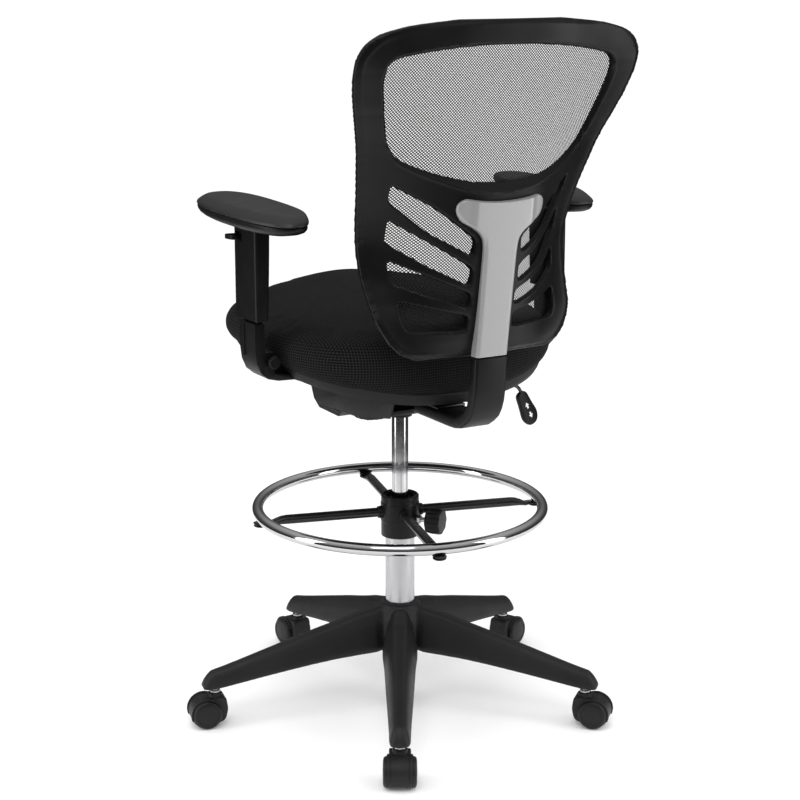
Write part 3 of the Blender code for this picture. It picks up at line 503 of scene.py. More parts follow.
# ---- base and casters --------
LEG_ROWS = mm([     # distance, top, bottom, half width at the top, half width at the foot
    (27.5, 183, 108, 13.5, 19), (50, 180, 107, 16, 31), (120, 161, 102, 14.5, 27.5),
    (220, 133, 88.5, 12.5, 23), (300, 110, 75.5, 11, 19), (334, 100, 70, 10, 18),
    (344, 90, 70, 9.2, 16.2), (350, 78, 70.5, 7, 12),
])
LEG_STATIONS = [0.0275, 0.038, 0.05, 0.08, 0.12, 0.16, 0.2, 0.24, 0.28, 0.31, 0.334, 0.341, 0.346, 0.35]
LEG_HOLLOW = [(0.06, 0.15, 0.085, 0.022), (0.18, 0.126, 0.075, 0.018), (0.3, 0.096, 0.055, 0.014)]


def leg_form():
    rings = []
    for x in LEG_STATIONS:
        top, bottom, half_top, half_bottom = blended(LEG_ROWS, x)
        low, shoulder = bottom + 0.12 * (top - bottom), top - 0.35 * (top - bottom)
        right = [(half_bottom * 0.9, bottom), (half_bottom, low), (half_top * 1.35, shoulder),
                 (half_top * 0.7, top)]
        rings.append([(x, y, z) for y, z in rounded(right + flipped(right), 0.006, 2)])
    return loft(rings)


def leg_hollow():
    return loft([[(x, half, low), (x, half * 0.55, top), (x, -half * 0.55, top), (x, -half, low)]
                 for x, top, low, half in LEG_HOLLOW])


def make_base():
    hub = turned(softened(mm([(34, 104), (40, 108), (43, 116), (41, 160), (34.5, 185), (33, 188.5),
                              (29, 188.5)]), 0.003), 64)
    cuts = [turned([(0.0256, 0.06), (0.0256, 0.21)], 64)]
    legs, ribs = [], []
    for turn in map(turned_to, LEG_ANGLES):
        legs.append(moved(leg_form(), turn))
        cuts.append(moved(leg_hollow(), turn))
        cuts.append(moved(turned([(0.006, 0.05), (0.006, 0.0935)], 24, (STEM_CIRCLE, 0.0)), turn))
        for x, top in ((0.11, 0.142), (0.17, 0.13), (0.23, 0.116)):
            half = 0.019 - 0.03 * (x - 0.08)
            low = blended(LEG_ROWS, x)[1] + 0.005
            outline = [(-half, low), (half, low), (half * 0.55, top), (-half * 0.55, top)]
            ribs.append(moved(prism(outline, 0, x, x + 0.0022), turn))
    star = loose("star_base_skin", joined([hub, *legs]))
    fuse(star, 0.0021, 6)
    cut(star, *cuts)
    piece(star, "base", "nylon", "star_base", angle=50)
    make("star_base_ribs", joined(ribs), "base", "nylon")
    wall = [(0.025, COLUMN_FOOT), (0.025, 0.37), (0.0245, 0.3707), (0.0236, 0.3707), (0.0235, 0.37),
            (0.0235, 0.094), (0.0095, 0.094), (0.0095, COLUMN_FOOT)]
    make("column_skin", turned(wall, 96, closed=True), "base", "satin_chrome", "column_tube")
    bush = mm([(23.2, 300), (23.2, 369.2), (22.2, 371.2), (20.2, 371.8), (16, 370.8), (14.4, 369.8),
               (14.4, 300)])
    remake("column_bush", turned(bush, 96, closed=True), "base", "satin_plastic")
    lip = softened(mm([(25.8, 186), (30, 187), (30, 190.5), (25.8, 191.2)]), 0.0012)
    make("hub_collar", turned(lip, 96, closed=True), "base", "nylon")


def arc(radius, start, stop, step):
    """Points round the axle in the caster's side plane, by angle in degrees."""
    return [(CASTER_TRAIL + radius * cos(radians(a)), AXLE_HEIGHT + radius * sin(radians(a)))
            for a in range(start, stop, step)]


def hood_side():
    """The hood's side outline: round over the wheels, upright in front, open towards the floor."""
    front = rounded(mm([(-8, 58), (-16.5, 55), (-19.5, 34), (-15, 16), (-4, 11), (22, 11)]), 0.006, 3)
    return arc(WHEEL_RADIUS + 0.0016, -42, 96, 6) + front[4:-4] + [(0.022, 0.011)]


def make_caster(number, angle):
    place = turned_to(angle) @ Matrix.Translation((STEM_CIRCLE, 0.0, 0.0))
    caster = f"caster_{number}"
    swivel, roll = f"{caster}_swivel", f"{caster}_roll"
    stem = turned(softened(mm([(0, 50.5), (5.5, 50.5), (5.5, 62.3), (9, 62.4), (9, 65.6), (5.5, 65.7),
                               (5.5, 89.3), (3.8, 90.5), (0, 90.5)]), 0.0005)[1:-1], 32)
    remake(f"{caster}_stem", moved(stem, place), swivel, "steel")
    neck = turned(mm([(11.8, 45), (12.2, 56), (12, 60.6), (10.6, 61.8)]), 40)
    hood = loose(f"{caster}_hood_skin",
                 joined([soft_prism(hood_side(), 1, -HOOD_HALF, HOOD_HALF, 0.0022), neck]))
    fuse(hood, 0.0011, 3)
    cut(hood, across(turned([(0.0036, -0.04), (0.0036, 0.04)], 20), (CASTER_TRAIL, 0.0, AXLE_HEIGHT)),
        turned([(0.0059, 0.05), (0.0059, 0.08)], 24))
    hood.data.transform(place)
    piece(hood, swivel, "nylon", f"{caster}_hood", angle=50)
    outer = WHEEL_RADIUS + 0.003
    wing = arc(outer, -20, 160, 6) + arc(outer - 0.0022, 154, -26, -6)
    inner_face, outer_face, r = HOOD_HALF + 0.001, TWIN_HALF, WHEEL_RADIUS
    wings = [soft_prism(wing, 1, *sorted((side * (HOOD_HALF - 0.002), side * (TWIN_HALF - 0.0065))), 0.0004)
             for side in (-1, 1)]
    make(f"{caster}_fender", moved(joined(wings), place), swivel, "nylon")
    half = softened([(0.003, inner_face), (r - 0.001, inner_face), (r, inner_face + 0.001),
                     (r, outer_face - 0.005), (r - 0.002, outer_face - 0.0014), (0.0178, outer_face),
                     (0.0172, outer_face - 0.001), (0.0165, outer_face - 0.0008),
                     (0.006, outer_face + 0.0002), (0.0, outer_face + 0.0004)], 0.001, 2)[:-1]
    profile = [(radius, -y) for radius, y in reversed(half)] + half
    wheels = across(turned(profile, 72), (CASTER_TRAIL, 0.0, AXLE_HEIGHT))
    make(f"{caster}_wheel_skin", moved(wheels, place), roll, "tread", f"{caster}_wheels")


# ---- lift and mechanism --------
def soften_node(name, skin, width, angle=30.0):
    """Keep a frame node, weld its facets, round its edges and give it a finish."""
    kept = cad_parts[name]
    kept.data.materials.clear()
    kept.data.materials.append(SKINS[skin])
    kept.data.shade_smooth()
    weld = kept.modifiers.new("weld", "WELD")
    weld.merge_threshold = 0.00001
    edge = kept.modifiers.new("edge", "BEVEL")
    edge.limit_method = "ANGLE"
    edge.angle_limit = radians(angle)
    edge.width = width
    edge.segments = 3


KEPT_NODES = [     # name, finish, width of the rounded edge
    ("piston_rod", "steel", 0.0003), ("gas_valve_pin", "steel", 0.0003),
    ("thrust_bearing", "steel", 0.0003), ("column_clip", "steel", 0.0002),
    ("tilt_axle", "painted_steel", 0.0005), ("mechanism_housing", "shell_plastic", 0.0016),
    ("tilt_lock_plate", "painted_steel", 0.0004), ("seat_plate", "painted_steel", 0.0007),
]


def make_lift():
    body = softened(mm([(5.4, 210), (13.4, 210), (14, 210.8), (14, 525), (13.1, 545), (12.2, 546),
                        (4.4, 546)]), 0.0006)
    remake("gas_cylinder", turned(body, 96), "lift", "dark_chrome")
    boss = softened(mm([(14.2, 517), (20.5, 517.6), (21.2, 538), (14.2, 539)]), 0.0012)
    make("lift_boss", turned(boss, 64, closed=True), "lift", "shell_plastic")
    for name, skin, width in KEPT_NODES:
        soften_node(name, skin, width)
    turns, steps, radius = 5, 24, 0.0165
    low, high = 0.5232, 0.5506
    count = turns * steps
    coil = [(radius * cos(2 * pi * i / steps), TENSION_Y + radius * sin(2 * pi * i / steps),
             low + (high - low) * i / count) for i in range(count + 1)]
    remake("tension_spring", tube(coil, 0.0021, 12), "lift", "steel")


def ridged(levels, base_radius, ridges, depth, points):
    """A knob with ridges round it, from (height, share of the radius) levels."""
    wave = [(a, base_radius + depth * cos(ridges * a)) for a in turn_steps(points)]
    return loft([[(share * r * cos(a), share * r * sin(a), z) for a, r in wave] for z, share in levels])


def make_tension():
    levels = [(0.0, 0.3), (0.0, 0.84), (0.0008, 0.9), (0.0025, 0.97), (0.0045, 1.0), (0.0125, 1.0),
              (0.015, 0.975), (0.0165, 0.92), (0.0165, 0.2)]
    knob = moved(ridged(levels, 0.032, 18, 0.0008, 144), Matrix.Translation((0.0, TENSION_Y, TENSION_LOW)))
    shank = turned([(0.005, TENSION_LOW + 0.006), (0.005, 0.5535)], 32, (0.0, TENSION_Y))
    remake("tension_knob", joined([knob, shank]), "tension", "satin_plastic")


LEVER_PATH = [(x, 0.0, LEVER_Z - drop) for x, drop in (
    (0.012, 0.0), (-0.05, 0.0), (-0.12, 0.0), (-0.17, 0.004), (-0.208, 0.008), (-0.237, 0.016),
    (-0.249, 0.041))]


def make_lever():
    remake("lever_rod", tube(curve_through(LEVER_PATH, 6), 0.003, 20), "lever", "painted_steel")
    end = Vector(LEVER_PATH[-1])
    along = (end - Vector(LEVER_PATH[-2])).normalized()
    face = Vector((0.0, 1.0, 0.35))
    face = (face - along * face.dot(along)).normalized()
    turn = Matrix((along.cross(face), along, face)).transposed().to_4x4()
    place = Matrix.Translation(end - along * 0.0168) @ turn
    right = mm([(10, 0), (12.5, 20), (17.5, 50), (9, 66)])
    blade = soft_prism(rounded(right + flipped(right), 0.011, 6), 2, -0.005, 0.005, 0.003)
    remake("lever_paddle", moved(blade, place), "lever", "satin_plastic")
    arrows = []
    for middle, way in ((0.028, -1), (0.046, 1)):
        right = [(0.0, middle + way * 0.0065), (0.0045, middle), (0.0018, middle),
                 (0.0018, middle - way * 0.005)]
        arrows.append(moved(prism(right + flipped(right[1:]), 2, 0.0048, 0.00512), place))
    make("lever_arrows", joined(arrows), "lever", "marking")


# ---- foot ring --------
def knob_frame():
    place = Matrix.Translation((0.0, 0.0, RING_KNOB_HEIGHT))
    return place @ turned_to(RING_KNOB_ANGLE) @ turned_to(90, "Y")


def make_spoke(number, angle):
    """A spoke that flattens under the ring, and the bolt head below it; returns its boss on the collar."""
    body, turn = "foot_rest", turned_to(angle)
    flat_top = RING_HEIGHT - RING_TUBE - GAP
    rows = [(0.0325, SPOKE_RADIUS, SPOKE_RADIUS, SPOKE_HEIGHT),
            (0.198, SPOKE_RADIUS, SPOKE_RADIUS, SPOKE_HEIGHT),
            (0.207, 0.0072, 0.0084, SPOKE_HEIGHT - 0.0005), (0.216, 0.0054, 0.0094, SPOKE_HEIGHT - 0.0021),
            (0.224, 0.0036, 0.0104, flat_top - 0.0037), (0.231, 0.0022, 0.011, flat_top - 0.0023),
            (0.246, 0.002, 0.011, flat_top - 0.002), (0.2505, 0.002, 0.0095, flat_top - 0.002),
            (0.253, 0.002, 0.006, flat_top - 0.002)]
    form = loft([[(x, wide * cos(t), middle + tall * sin(t)) for t in turn_steps(28)]
                 for x, tall, wide, middle in rows])
    remake(f"foot_ring_spoke_{number}", moved(form, turn), body, "painted_steel")
    head = softened([(0.003, flat_top - 0.008), (0.0088, flat_top - 0.008), (0.011, flat_top - 0.0066),
                     (0.0112, flat_top - 0.0045), (0.003, flat_top - 0.0043)], 0.0008)
    head = turned(head, 40, (RING_RADIUS, 0.0))
    remake(f"foot_ring_bolt_{number}", moved(head, turn), body, "satin_plastic")
    boss = softened(mm([(8.6, -30), (11.2, -30), (10, -39), (8.4, -39.5)]), 0.0008)
    return moved(across(turned(boss, 40), (0.0, 0.0, SPOKE_HEIGHT)), turned_to(angle + 90))


def make_foot_ring():
    section = [(RING_RADIUS + RING_TUBE * cos(b), RING_HEIGHT + RING_TUBE * sin(b)) for b in turn_steps(32)]
    remake("foot_ring", turned(section, 192, closed=True), "foot_rest", "chrome")
    bore, wall, top = 0.0252, COLLAR_RADIUS, COLLAR_HIGH
    profile = softened([(bore, COLLAR_LOW), (wall, COLLAR_LOW), (wall, 0.333), (wall + 0.0008, 0.3345),
                        (wall + 0.0008, top - 0.011), (wall, top - 0.0095), (wall, top + 0.001),
                        (0.0302, top + 0.0034), (0.0286, top + 0.0034), (0.0282, top - 0.003),
                        (0.027, top - 0.003), (0.0266, top + 0.0016), (bore, top + 0.0016)], 0.0009)
    remake("foot_ring_collar", turned(profile, 96, closed=True), "foot_rest", "satin_plastic")
    bosses = [make_spoke(number, angle) for number, angle in enumerate(SPOKE_ANGLES, 1)]
    make("foot_ring_bosses", joined(bosses), "foot_rest", "satin_plastic")
    levels = [(0.05, 0.3), (0.05, 0.7), (0.0515, 0.88), (0.054, 0.96), (0.0575, 0.995), (0.062, 1.0),
              (0.0705, 1.0), (0.0738, 0.985), (0.0762, 0.94), (0.0776, 0.86), (0.078, 0.3)]
    knob = ridged(levels, 0.0222, 8, 0.0009, 128)
    remake("foot_ring_knob", moved(knob, knob_frame()), "foot_rest_knob", "satin_plastic")
    stud = turned([(0.004, 0.0256), (0.004, 0.056)], 32)
    make("foot_ring_stud", moved(stud, knob_frame()), "foot_rest_knob", "steel")
    nut = softened(mm([(4.2, 32.5), (7.8, 32.5), (7.8, 38.5), (4.2, 39)]), 0.0006)
    make("foot_ring_nut", moved(turned(nut, 6, closed=True), knob_frame()), "foot_rest", "steel")


# ---- seat --------
COVER_X, COVER_FRONT, COVER_REAR = 0.1, -0.128, 0.158
SKIRT_DROP = 0.006                        # the shell's rim turns down past the padded part
CUSHION_POINTS = 160
SWELL_VOXEL, SWELL_START, SWELL_CAP = 0.0055, 0.003, 0.0055
SWELL_PRESSURE, SWELL_FRAMES = 5.0, 20


def oval(count, power, scale):
    """Points of a rounded square whose half width is the scale."""
    made = []
    for a in turn_steps(count):
        reach = scale / (abs(cos(a)) ** power + abs(sin(a)) ** power) ** (1 / power)
        made.append((reach * cos(a), reach * sin(a)))
    return made


def seat_ring(rho, count):
    """The seat's outline, narrower towards the rear."""
    return [(SEAT_HALF * u * (1 - SEAT_TAPER * max(0.0, v) ** 2), SEAT_CENTRE_Y + SEAT_HALF_DEPTH * v)
            for u, v in oval(count, SEAT_POWER, rho)]


def rho_at(x, y):
    u, v = abs(x) / SEAT_HALF, abs(y - SEAT_CENTRE_Y) / SEAT_HALF_DEPTH
    return (u ** SEAT_POWER + v ** SEAT_POWER) ** (1 / SEAT_POWER)


def rim_height(x, y):
    return RIM_HEIGHT + RIM_RISE * min(abs(x) / SEAT_HALF, 1.0) ** 1.7 - RIM_SLOPE * y


def shell_low(x, y):
    return rim_height(x, y) - SHELL_DEPTH * (1 - min(rho_at(x, y) / SHELL_SHARE, 1.0) ** 2.2)


def cushion_top(x, y):
    """The crown: it leans, and falls to the sides, over the front edge and at the front corners."""
    front = 5.0 * max(0.0, -0.19 - y) ** 2
    corner = sqrt((x / SEAT_HALF) ** 2 + 0.02) - 0.141
    fall = front + 0.03 * corner * min(1.0, max(0.0, (0.05 - y) / 0.2))
    return CROWN_HEIGHT - CROWN_SLOPE * (y - SEAT_CENTRE_Y) - CROWN_SIDE * (x / SEAT_HALF) ** 2 - fall


def layers(rhos, height, count):
    return [[(x, y, height(x, y)) for x, y in seat_ring(rho, count)] for rho in rhos]


def make_shell():
    inward = [SHELL_SHARE * share for share in (0.03, 0.2, 0.35, 0.5, 0.62, 0.74, 0.84, 0.92, 0.965)]
    low = layers([*inward, SHELL_SHARE * 0.985], lambda x, y: shell_low(x, y) - SKIRT_DROP, 144)
    lip = []
    for share, rise in ((0.998, -0.002), (1.005, 0.002), (1.013, 0.0095), (1.016, 0.0116),
                        (1.014, 0.0132), (1.004, 0.0138)):
        lip += layers([SHELL_SHARE * share], lambda x, y, rise=rise: rim_height(x, y) + rise, 144)
    top = layers(inward[::-1], lambda x, y: shell_low(x, y) + SHELL_WALL, 144)
    remake("seat_shell", loft(low + lip + top), "seat", "shell_plastic")


def make_cover():
    """Side walls under the shell that close the mechanism off, the right one open for the lever's rod."""
    steps = [COVER_FRONT + (COVER_REAR - COVER_FRONT) * k / 16 for k in range(17)]
    roof = [(y, shell_low(COVER_X, y) - SKIRT_DROP + 0.0015) for y in steps]
    sill = [(0.144, 0.556), (0.06, 0.54), (0.02, 0.5345)]
    toe = [(-0.02, 0.533), (-0.1, 0.53), (-0.108, 0.534)]
    notch = [(0.018, 0.576), (-0.018, 0.576)]
    walls = [soft_prism(roof + sill + toe, 0, COVER_X, COVER_X + 0.003, 0.0008),
             soft_prism(roof + sill + notch + toe, 0, -COVER_X - 0.003, -COVER_X, 0.0008)]
    make("mechanism_cover", joined(walls), "seat", "shell_plastic")


def make_cushion():
    """The padded seat, swollen by its own pressure in cloth."""
    lift = SHELL_WALL + 0.0012
    inward = [SHELL_SHARE * share for share in (0.03, 0.25, 0.5, 0.7, 0.84, 0.94)]
    under = layers(inward, lambda x, y: shell_low(x, y) + lift, CUSHION_POINTS)
    sides = []
    for rho, share in ((0.945, 0.135), (0.968, 0.165), (0.988, 0.24), (0.999, 0.36), (1.002, 0.5),
                       (0.996, 0.66), (0.982, 0.8), (0.96, 0.91)):
        sides.append([(x, y, (1 - share) * rim_height(x, y) + share * cushion_top(x, y))
                      for x, y in seat_ring(rho, CUSHION_POINTS)])
    crown = layers((0.925, 0.88, 0.78, 0.66, 0.5, 0.3, 0.15, 0.03), cushion_top, CUSHION_POINTS)
    crown[0] = [(x, y, z - 0.0018) for x, y, z in crown[0]]
    pad = loose("seat_cushion_skin", loft(under + sides + crown))
    swell(pad)
    piece(pad, "seat", "seat_fabric", "seat_cushion", angle=80)


def swell(obj):
    """Remesh and inflate an object with cloth, and keep each point within a cap of its start."""
    even = obj.modifiers.new("even", "REMESH")
    even.mode = "VOXEL"
    even.voxel_size = SWELL_VOXEL
    settle(obj)
    normals = [v.normal.copy() for v in obj.data.vertices]
    for v, n in zip(obj.data.vertices, normals):
        v.co += n * SWELL_START
    start = [v.co.copy() for v in obj.data.vertices]
    scene = bpy.context.scene
    cloth = obj.modifiers.new("Cloth", "CLOTH")
    rules = cloth.settings
    rules.quality = 6
    rules.mass = 0.25
    rules.tension_stiffness = 25
    rules.compression_stiffness = 25
    rules.bending_stiffness = 2.0
    rules.use_pressure = True
    rules.uniform_pressure_force = SWELL_PRESSURE
    rules.effector_weights.gravity = 0.0
    cloth.point_cache.frame_start = 1
    cloth.point_cache.frame_end = SWELL_FRAMES
    for number in range(1, SWELL_FRAMES + 1):
        scene.frame_set(number)
    settle(obj)
    scene.frame_set(1)
    for v, origin in zip(obj.data.vertices, start):
        step = v.co - origin
        if step.length > SWELL_CAP:
            v.co = origin + step.normalized() * SWELL_CAP
    ease = obj.modifiers.new("ease", "SMOOTH")
    ease.iterations = 4
    finer = obj.modifiers.new("finer", "SUBSURF")
    finer.levels = 1
    finer.render_levels = 1
    settle(obj)


# ---- back --------
BACK_ROWS = mm([     # height, rear face at the middle, rear face at the edge, half width
    (672, 263, 256, 118), (682, 266.2, 254, 141), (700, 271.5, 249, 159), (730, 278.5, 239, 174),
    (760, 284.5, 224, 180), (800, 291.5, 208, 185), (840, 298, 202, 188), (880, 303.5, 209, 193),
    (920, 308, 223, 199), (960, 312, 239, 207), (1000, 316.5, 256, 216), (1050, 322.5, 279, 232),
    (1080, 326, 292, 241), (1110, 329.5, 304, 246), (1130, 332, 311, 244), (1150, 334.5, 317, 233),
    (1165, 336, 322, 209), (1176, 337, 327, 161), (1183, 337.5, 333, 88),
])
BACK_BEND = 4                             # flatness of the back's middle
WINDOW = mm([(0, 943), (50, 947.5), (92, 957), (132, 971), (158, 986), (171, 1004), (180, 1030),
             (190, 1065), (196.5, 1095), (196.5, 1112), (188, 1124), (170, 1131), (110, 1140),
             (50, 1144.5), (0, 1145.5)])
BEAD = mm([(0, 927.5), (50, 934), (92, 947), (132, 964), (158, 980), (173.5, 1001), (183, 1028.5),
           (192.5, 1064), (198.5, 1094.5), (198.5, 1113.5), (189.5, 1126), (170.5, 1133.5), (110, 1142.5),
           (50, 1147), (0, 1148)])
WINDOW_MIDDLE = 1.05
SLOTS = [       # the reach of the curves, and the corners of one half's openings
    (0.007, mm([(158, 942.5), (157, 917.5), (105, 868.5), (43, 832), (40, 858), (103, 909)])),
    (0.007, mm([(153, 888), (153, 852.5), (102, 817), (43, 786), (40, 813), (98, 851)])),
    (0.007, mm([(149, 824.5), (149, 805), (144, 790.5), (100, 772), (40, 750), (39, 773)])),
    (0.008, mm([(141, 764), (138, 730), (130, 717.5), (41.5, 714), (39, 738.5)])),
]
RIM_LOW = mm([(45, 680), (105, 681), (129, 687), (150, 704)])
RIM_TOP = mm([(222, 1146), (202, 1158.5), (157, 1168.5), (86, 1175), (0, 1176.5)])
BACK_LOW, BACK_HIGH = BACK_ROWS[0][0], BACK_ROWS[-1][0]


def back_depth(x, z, off=0.0):
    middle, edge, half = blended(BACK_ROWS, z)
    bend = sin(pi / 2 * min(abs(x) / half, 1.0)) ** BACK_BEND
    return middle - (middle - edge) * bend - off


def lip_drop(x, z):
    """How far the rear face steps forward in the narrow band along the outer edge."""
    half = blended(BACK_ROWS, z)[2]
    near = min(half - abs(x), BACK_HIGH - z, z - BACK_LOW)
    return 0.0024 * (1 - min(max((near - 0.0065) / 0.0025, 0.0), 1.0))


def flat_curve(points, steps):
    """A smooth curve through (x, z) points."""
    return [tuple(p) for p in curve_through(points, steps)]


def reach_table(points):
    """How far an outline lies from the window's middle, by angle down from the top."""
    return [(atan2(x, WINDOW_MIDDLE - z), hypot(x, z - WINDOW_MIDDLE)) for x, z in flat_curve(points, 6)]


WINDOW_REACH, BEAD_REACH = reach_table(WINDOW), reach_table(BEAD)


def chamfer(x, z):
    """How deep the slope from the bead line in to the window's edge has cut at a place."""
    angle, reach = atan2(abs(x), WINDOW_MIDDLE - z), hypot(x, z - WINDOW_MIDDLE)
    near = blended(WINDOW_REACH, angle)[0]
    far = blended(BEAD_REACH, angle)[0]
    return FRAME_WALL * min(1.0, max(0.0, (far - reach) / (far - near)))


def back_slab():
    edge = (0.0, 0.003, 0.0065, 0.0078, 0.0092, 0.013)
    front, rear = [], []
    for k in range(191):
        z = BACK_LOW + (BACK_HIGH - BACK_LOW) * k / 190
        half = blended(BACK_ROWS, z)[2]
        right = [half - step for step in reversed(edge)]
        inner = [(half - 0.016) * (-1 + 2 * i / 90) for i in range(91)]
        xs = [-x for x in reversed(right)] + inner + right
        front.append([(x, back_depth(x, z, FRAME_WALL), z) for x in xs])
        rear.append([(x, back_depth(x, z, min(FRAME_WALL - 0.0012, lip_drop(x, z) + chamfer(x, z))), z)
                     for x in xs])
    return slab(front, rear)


def bead(points, off, radius):
    """A raised line that follows the rear face through (x, z) points."""
    path = [(x, back_depth(x, z, off), z) for x, z in points]
    return tube(path, radius, 12)


def make_back():
    half = flat_curve(WINDOW, 4)
    cutters = [prism(half + flipped(half[1:-1]), 1, 0.1, 0.5)]
    for reach, corners in SLOTS:
        outline = rounded(corners, reach, 5)
        cutters += [prism(outline, 1, 0.1, 0.5), prism(flipped(outline), 1, 0.1, 0.5)]
    solid = loose("solid", back_slab())
    cut(solid, *cutters)
    half = [(x, z - 0.0012) for x, z in flat_curve(BEAD[:6], 6)]
    ridge = flipped(half[1:]) + half
    side = [(half_width - 0.008, z) for z, _, _, half_width in BACK_ROWS[3:-4]]
    half = flat_curve(RIM_LOW + side + RIM_TOP, 4)
    rim = half + flipped(half[:-1])
    whole = joined([bead(ridge, 0.0004, 0.0019), bead(rim, 0.0008, 0.0016)])
    whole.from_mesh(solid.data)
    bpy.data.objects.remove(solid, do_unlink=True)
    frame_skin = loose("back_frame_skin", whole)
    fuse(frame_skin, 0.0022, 2)
    piece(frame_skin, "seat", "satin_plastic", "back_frame", angle=60)


NET_PITCH, NET_SHARE = 0.0045, 0.4        # a diamond's width, and how much of it its threads fill
NET_INSET = 0.006


def make_net():
    """One stretched sheet of net over the front of the frame, every hole a real hole."""
    form = bmesh.new()
    step = NET_PITCH / 2
    corners = {}

    def place(u, v):
        return u * step, BACK_LOW + NET_INSET + v * step

    def point(u, v):
        x, z = place(u, v)
        return Vector((x, back_depth(x, z, FRAME_WALL + NET_GAP), z))

    def inside(u, v):
        x, z = place(u, v)
        return BACK_LOW < z < BACK_HIGH and abs(x) < blended(BACK_ROWS, z)[2] - NET_INSET

    def vertex(u, v):
        if (u, v) not in corners:
            corners[u, v] = form.verts.new(point(u, v))
        return corners[u, v]
    widest = int(0.25 / step) + 1
    for v in range(1, int((BACK_HIGH - BACK_LOW - 2 * NET_INSET) / step)):
        for u in range(-widest, widest + 1):
            around = ((u, v - 1), (u + 1, v), (u, v + 1), (u - 1, v))
            if (u + v) % 2 == 0 or not all(inside(*corner) for corner in around):
                continue
            outer = [vertex(*corner) for corner in around]
            centre = point(u, v)
            band(form, outer, [form.verts.new(centre + (o.co - centre) * (1 - NET_SHARE)) for o in outer])
    net = make("back_net", form, "seat", "back_mesh", "back_mesh")


BAR_ROWS = mm([     # height, half width
    (673, 28), (760, 28.4), (835, 29.2), (850, 30.2), (860, 33), (869, 40), (878, 52), (887, 67),
    (896, 73.5), (904, 76.2), (912, 75.5), (918, 71.5), (921.5, 64),
])
BAR_LOW, BAR_HIGH = BAR_ROWS[0][0], BAR_ROWS[-1][0]
BAR_EDGE, BAR_SAG = 0.0055, 0.006         # the reach of its soft edge, the dip between its lobes


def bar_rear(z):
    return 0.2845 + 0.132 * (z - BAR_LOW)


def make_t_bar():
    """The silver stem and its lobes, with a soft edge all round."""
    columns, rows = 48, 110
    front, rear = [], []
    for step in range(rows + 1):
        level = BAR_LOW + (BAR_HIGH - BAR_LOW) * step / rows
        half = blended(BAR_ROWS, level)[0]
        front.append([])
        rear.append([])
        for k in range(columns + 1):
            x = half * sin((-1 + 2 * k / columns) * pi / 2)
            sag = BAR_SAG * (1 - min(1.0, abs(x) / 0.06) ** 2)
            z = level - sag * max(0.0, (level - 0.895) / (BAR_HIGH - 0.895))
            seat = back_depth(x, z) + 2 * GAP
            lobe = min(1.0, max(0.0, (abs(x) - BAR_HALF) / 0.03))
            proud = max(min(bar_rear(z), seat + 0.0205 - 0.014 * lobe), seat + 0.004)
            inward = min(half - abs(x), (BAR_HIGH - level) * 1.6)
            fall = 1 - sqrt(max(0.0, 1 - (1 - min(inward / BAR_EDGE, 1.0)) ** 2))
            face = max(seat, proud - BAR_WALL)
            front[-1].append((x, face, z))
            rear[-1].append((x, proud - min(fall * 0.0045, proud - face - 0.0015), z))
    remake("t_bar", slab(front, rear), "seat", "silver", angle=50)


def make_bracket():
    """The black J under the stem: down, round and forward to the seat plate."""
    rows = [(bar_rear(0.671) - 0.01, 0.671)] + mm([(273, 655), (272.2, 640), (271.2, 627), (270, 615),
                                                   (267.5, 601), (263, 588.5), (256, 577), (245.5, 568.5),
                                                   (232, 560), (218, 557), (200, 556.1), (185, 556),
                                                   (140, 556), (96, 556)])
    half, thick = BAR_HALF + 0.001, 0.0098
    section = rounded_box((-half, -thick), (half, thick), 0.005, 4)
    points = [Vector((0.0, y, z)) for y, z in rows]
    rings = []
    for i, point in enumerate(points):
        ahead = heading(points, i)
        normal = Vector((0.0, -ahead.z, ahead.y))
        rings.append([point + Vector((x, 0, 0)) + normal * n for x, n in section])
    remake("back_bracket", loft(rings), "seat", "satin_plastic", angle=50)


# ---- arms --------
def mirrored(form, side):
    return form if side > 0 else moved(form, Matrix.Scale(-1, 4, (1, 0, 0)))


def pad_ring(scale, z):
    """The pad's outline at a level: narrower to the rear, leaning in and sloping back."""
    lean = PAD_LEAN * max(0.0, z - PAD_LEAN_FROM)
    made = []
    for u, v in oval(96, PAD_POWER, scale):
        x = PAD_WIDTH / 2 * u * (1 - PAD_WAIST * v / hypot(u, v)) - lean
        y = PAD_SHARE * PAD_LENGTH / 2 * v
        made.append((x, y, z - PAD_DROP - PAD_SLOPE * y))
    return made


def pad_form(levels):
    place = Matrix.Translation((PAD_X, PAD_Y, PAD_BASE)) @ turned_to(PAD_TOE_OUT)
    return moved(loft([pad_ring(scale, z) for z, scale in levels]), place)


TRAY_LEVELS = [(-0.0045, 0.3), (-0.0045, 0.64), (-0.003, 0.76), (0.0, 0.87), (0.0035, 0.94),
               (0.0075, 0.975), (0.0105, 0.985), (0.0124, 0.985), (0.013, 0.975), (0.013, 0.5)]
PAD_LEVELS = [(0.0133, 0.3), (0.0133, 0.955), (0.0142, 0.98), (0.0162, 0.998), (0.019, 0.995),
              (0.0225, 0.968), (0.026, 0.93), (0.0286, 0.892), (0.0298, 0.862), (0.0306, 0.81),
              (0.0316, 0.69), (0.0327, 0.52), (0.0337, 0.32), (0.0342, 0.12)]
GRIP_LEVELS = [(0.0, 0.4), (0.0, 0.84), (0.0008, 0.93), (0.0022, 1.0), (0.0095, 1.0), (0.0112, 0.94),
               (0.012, 0.84), (0.012, 0.3)]


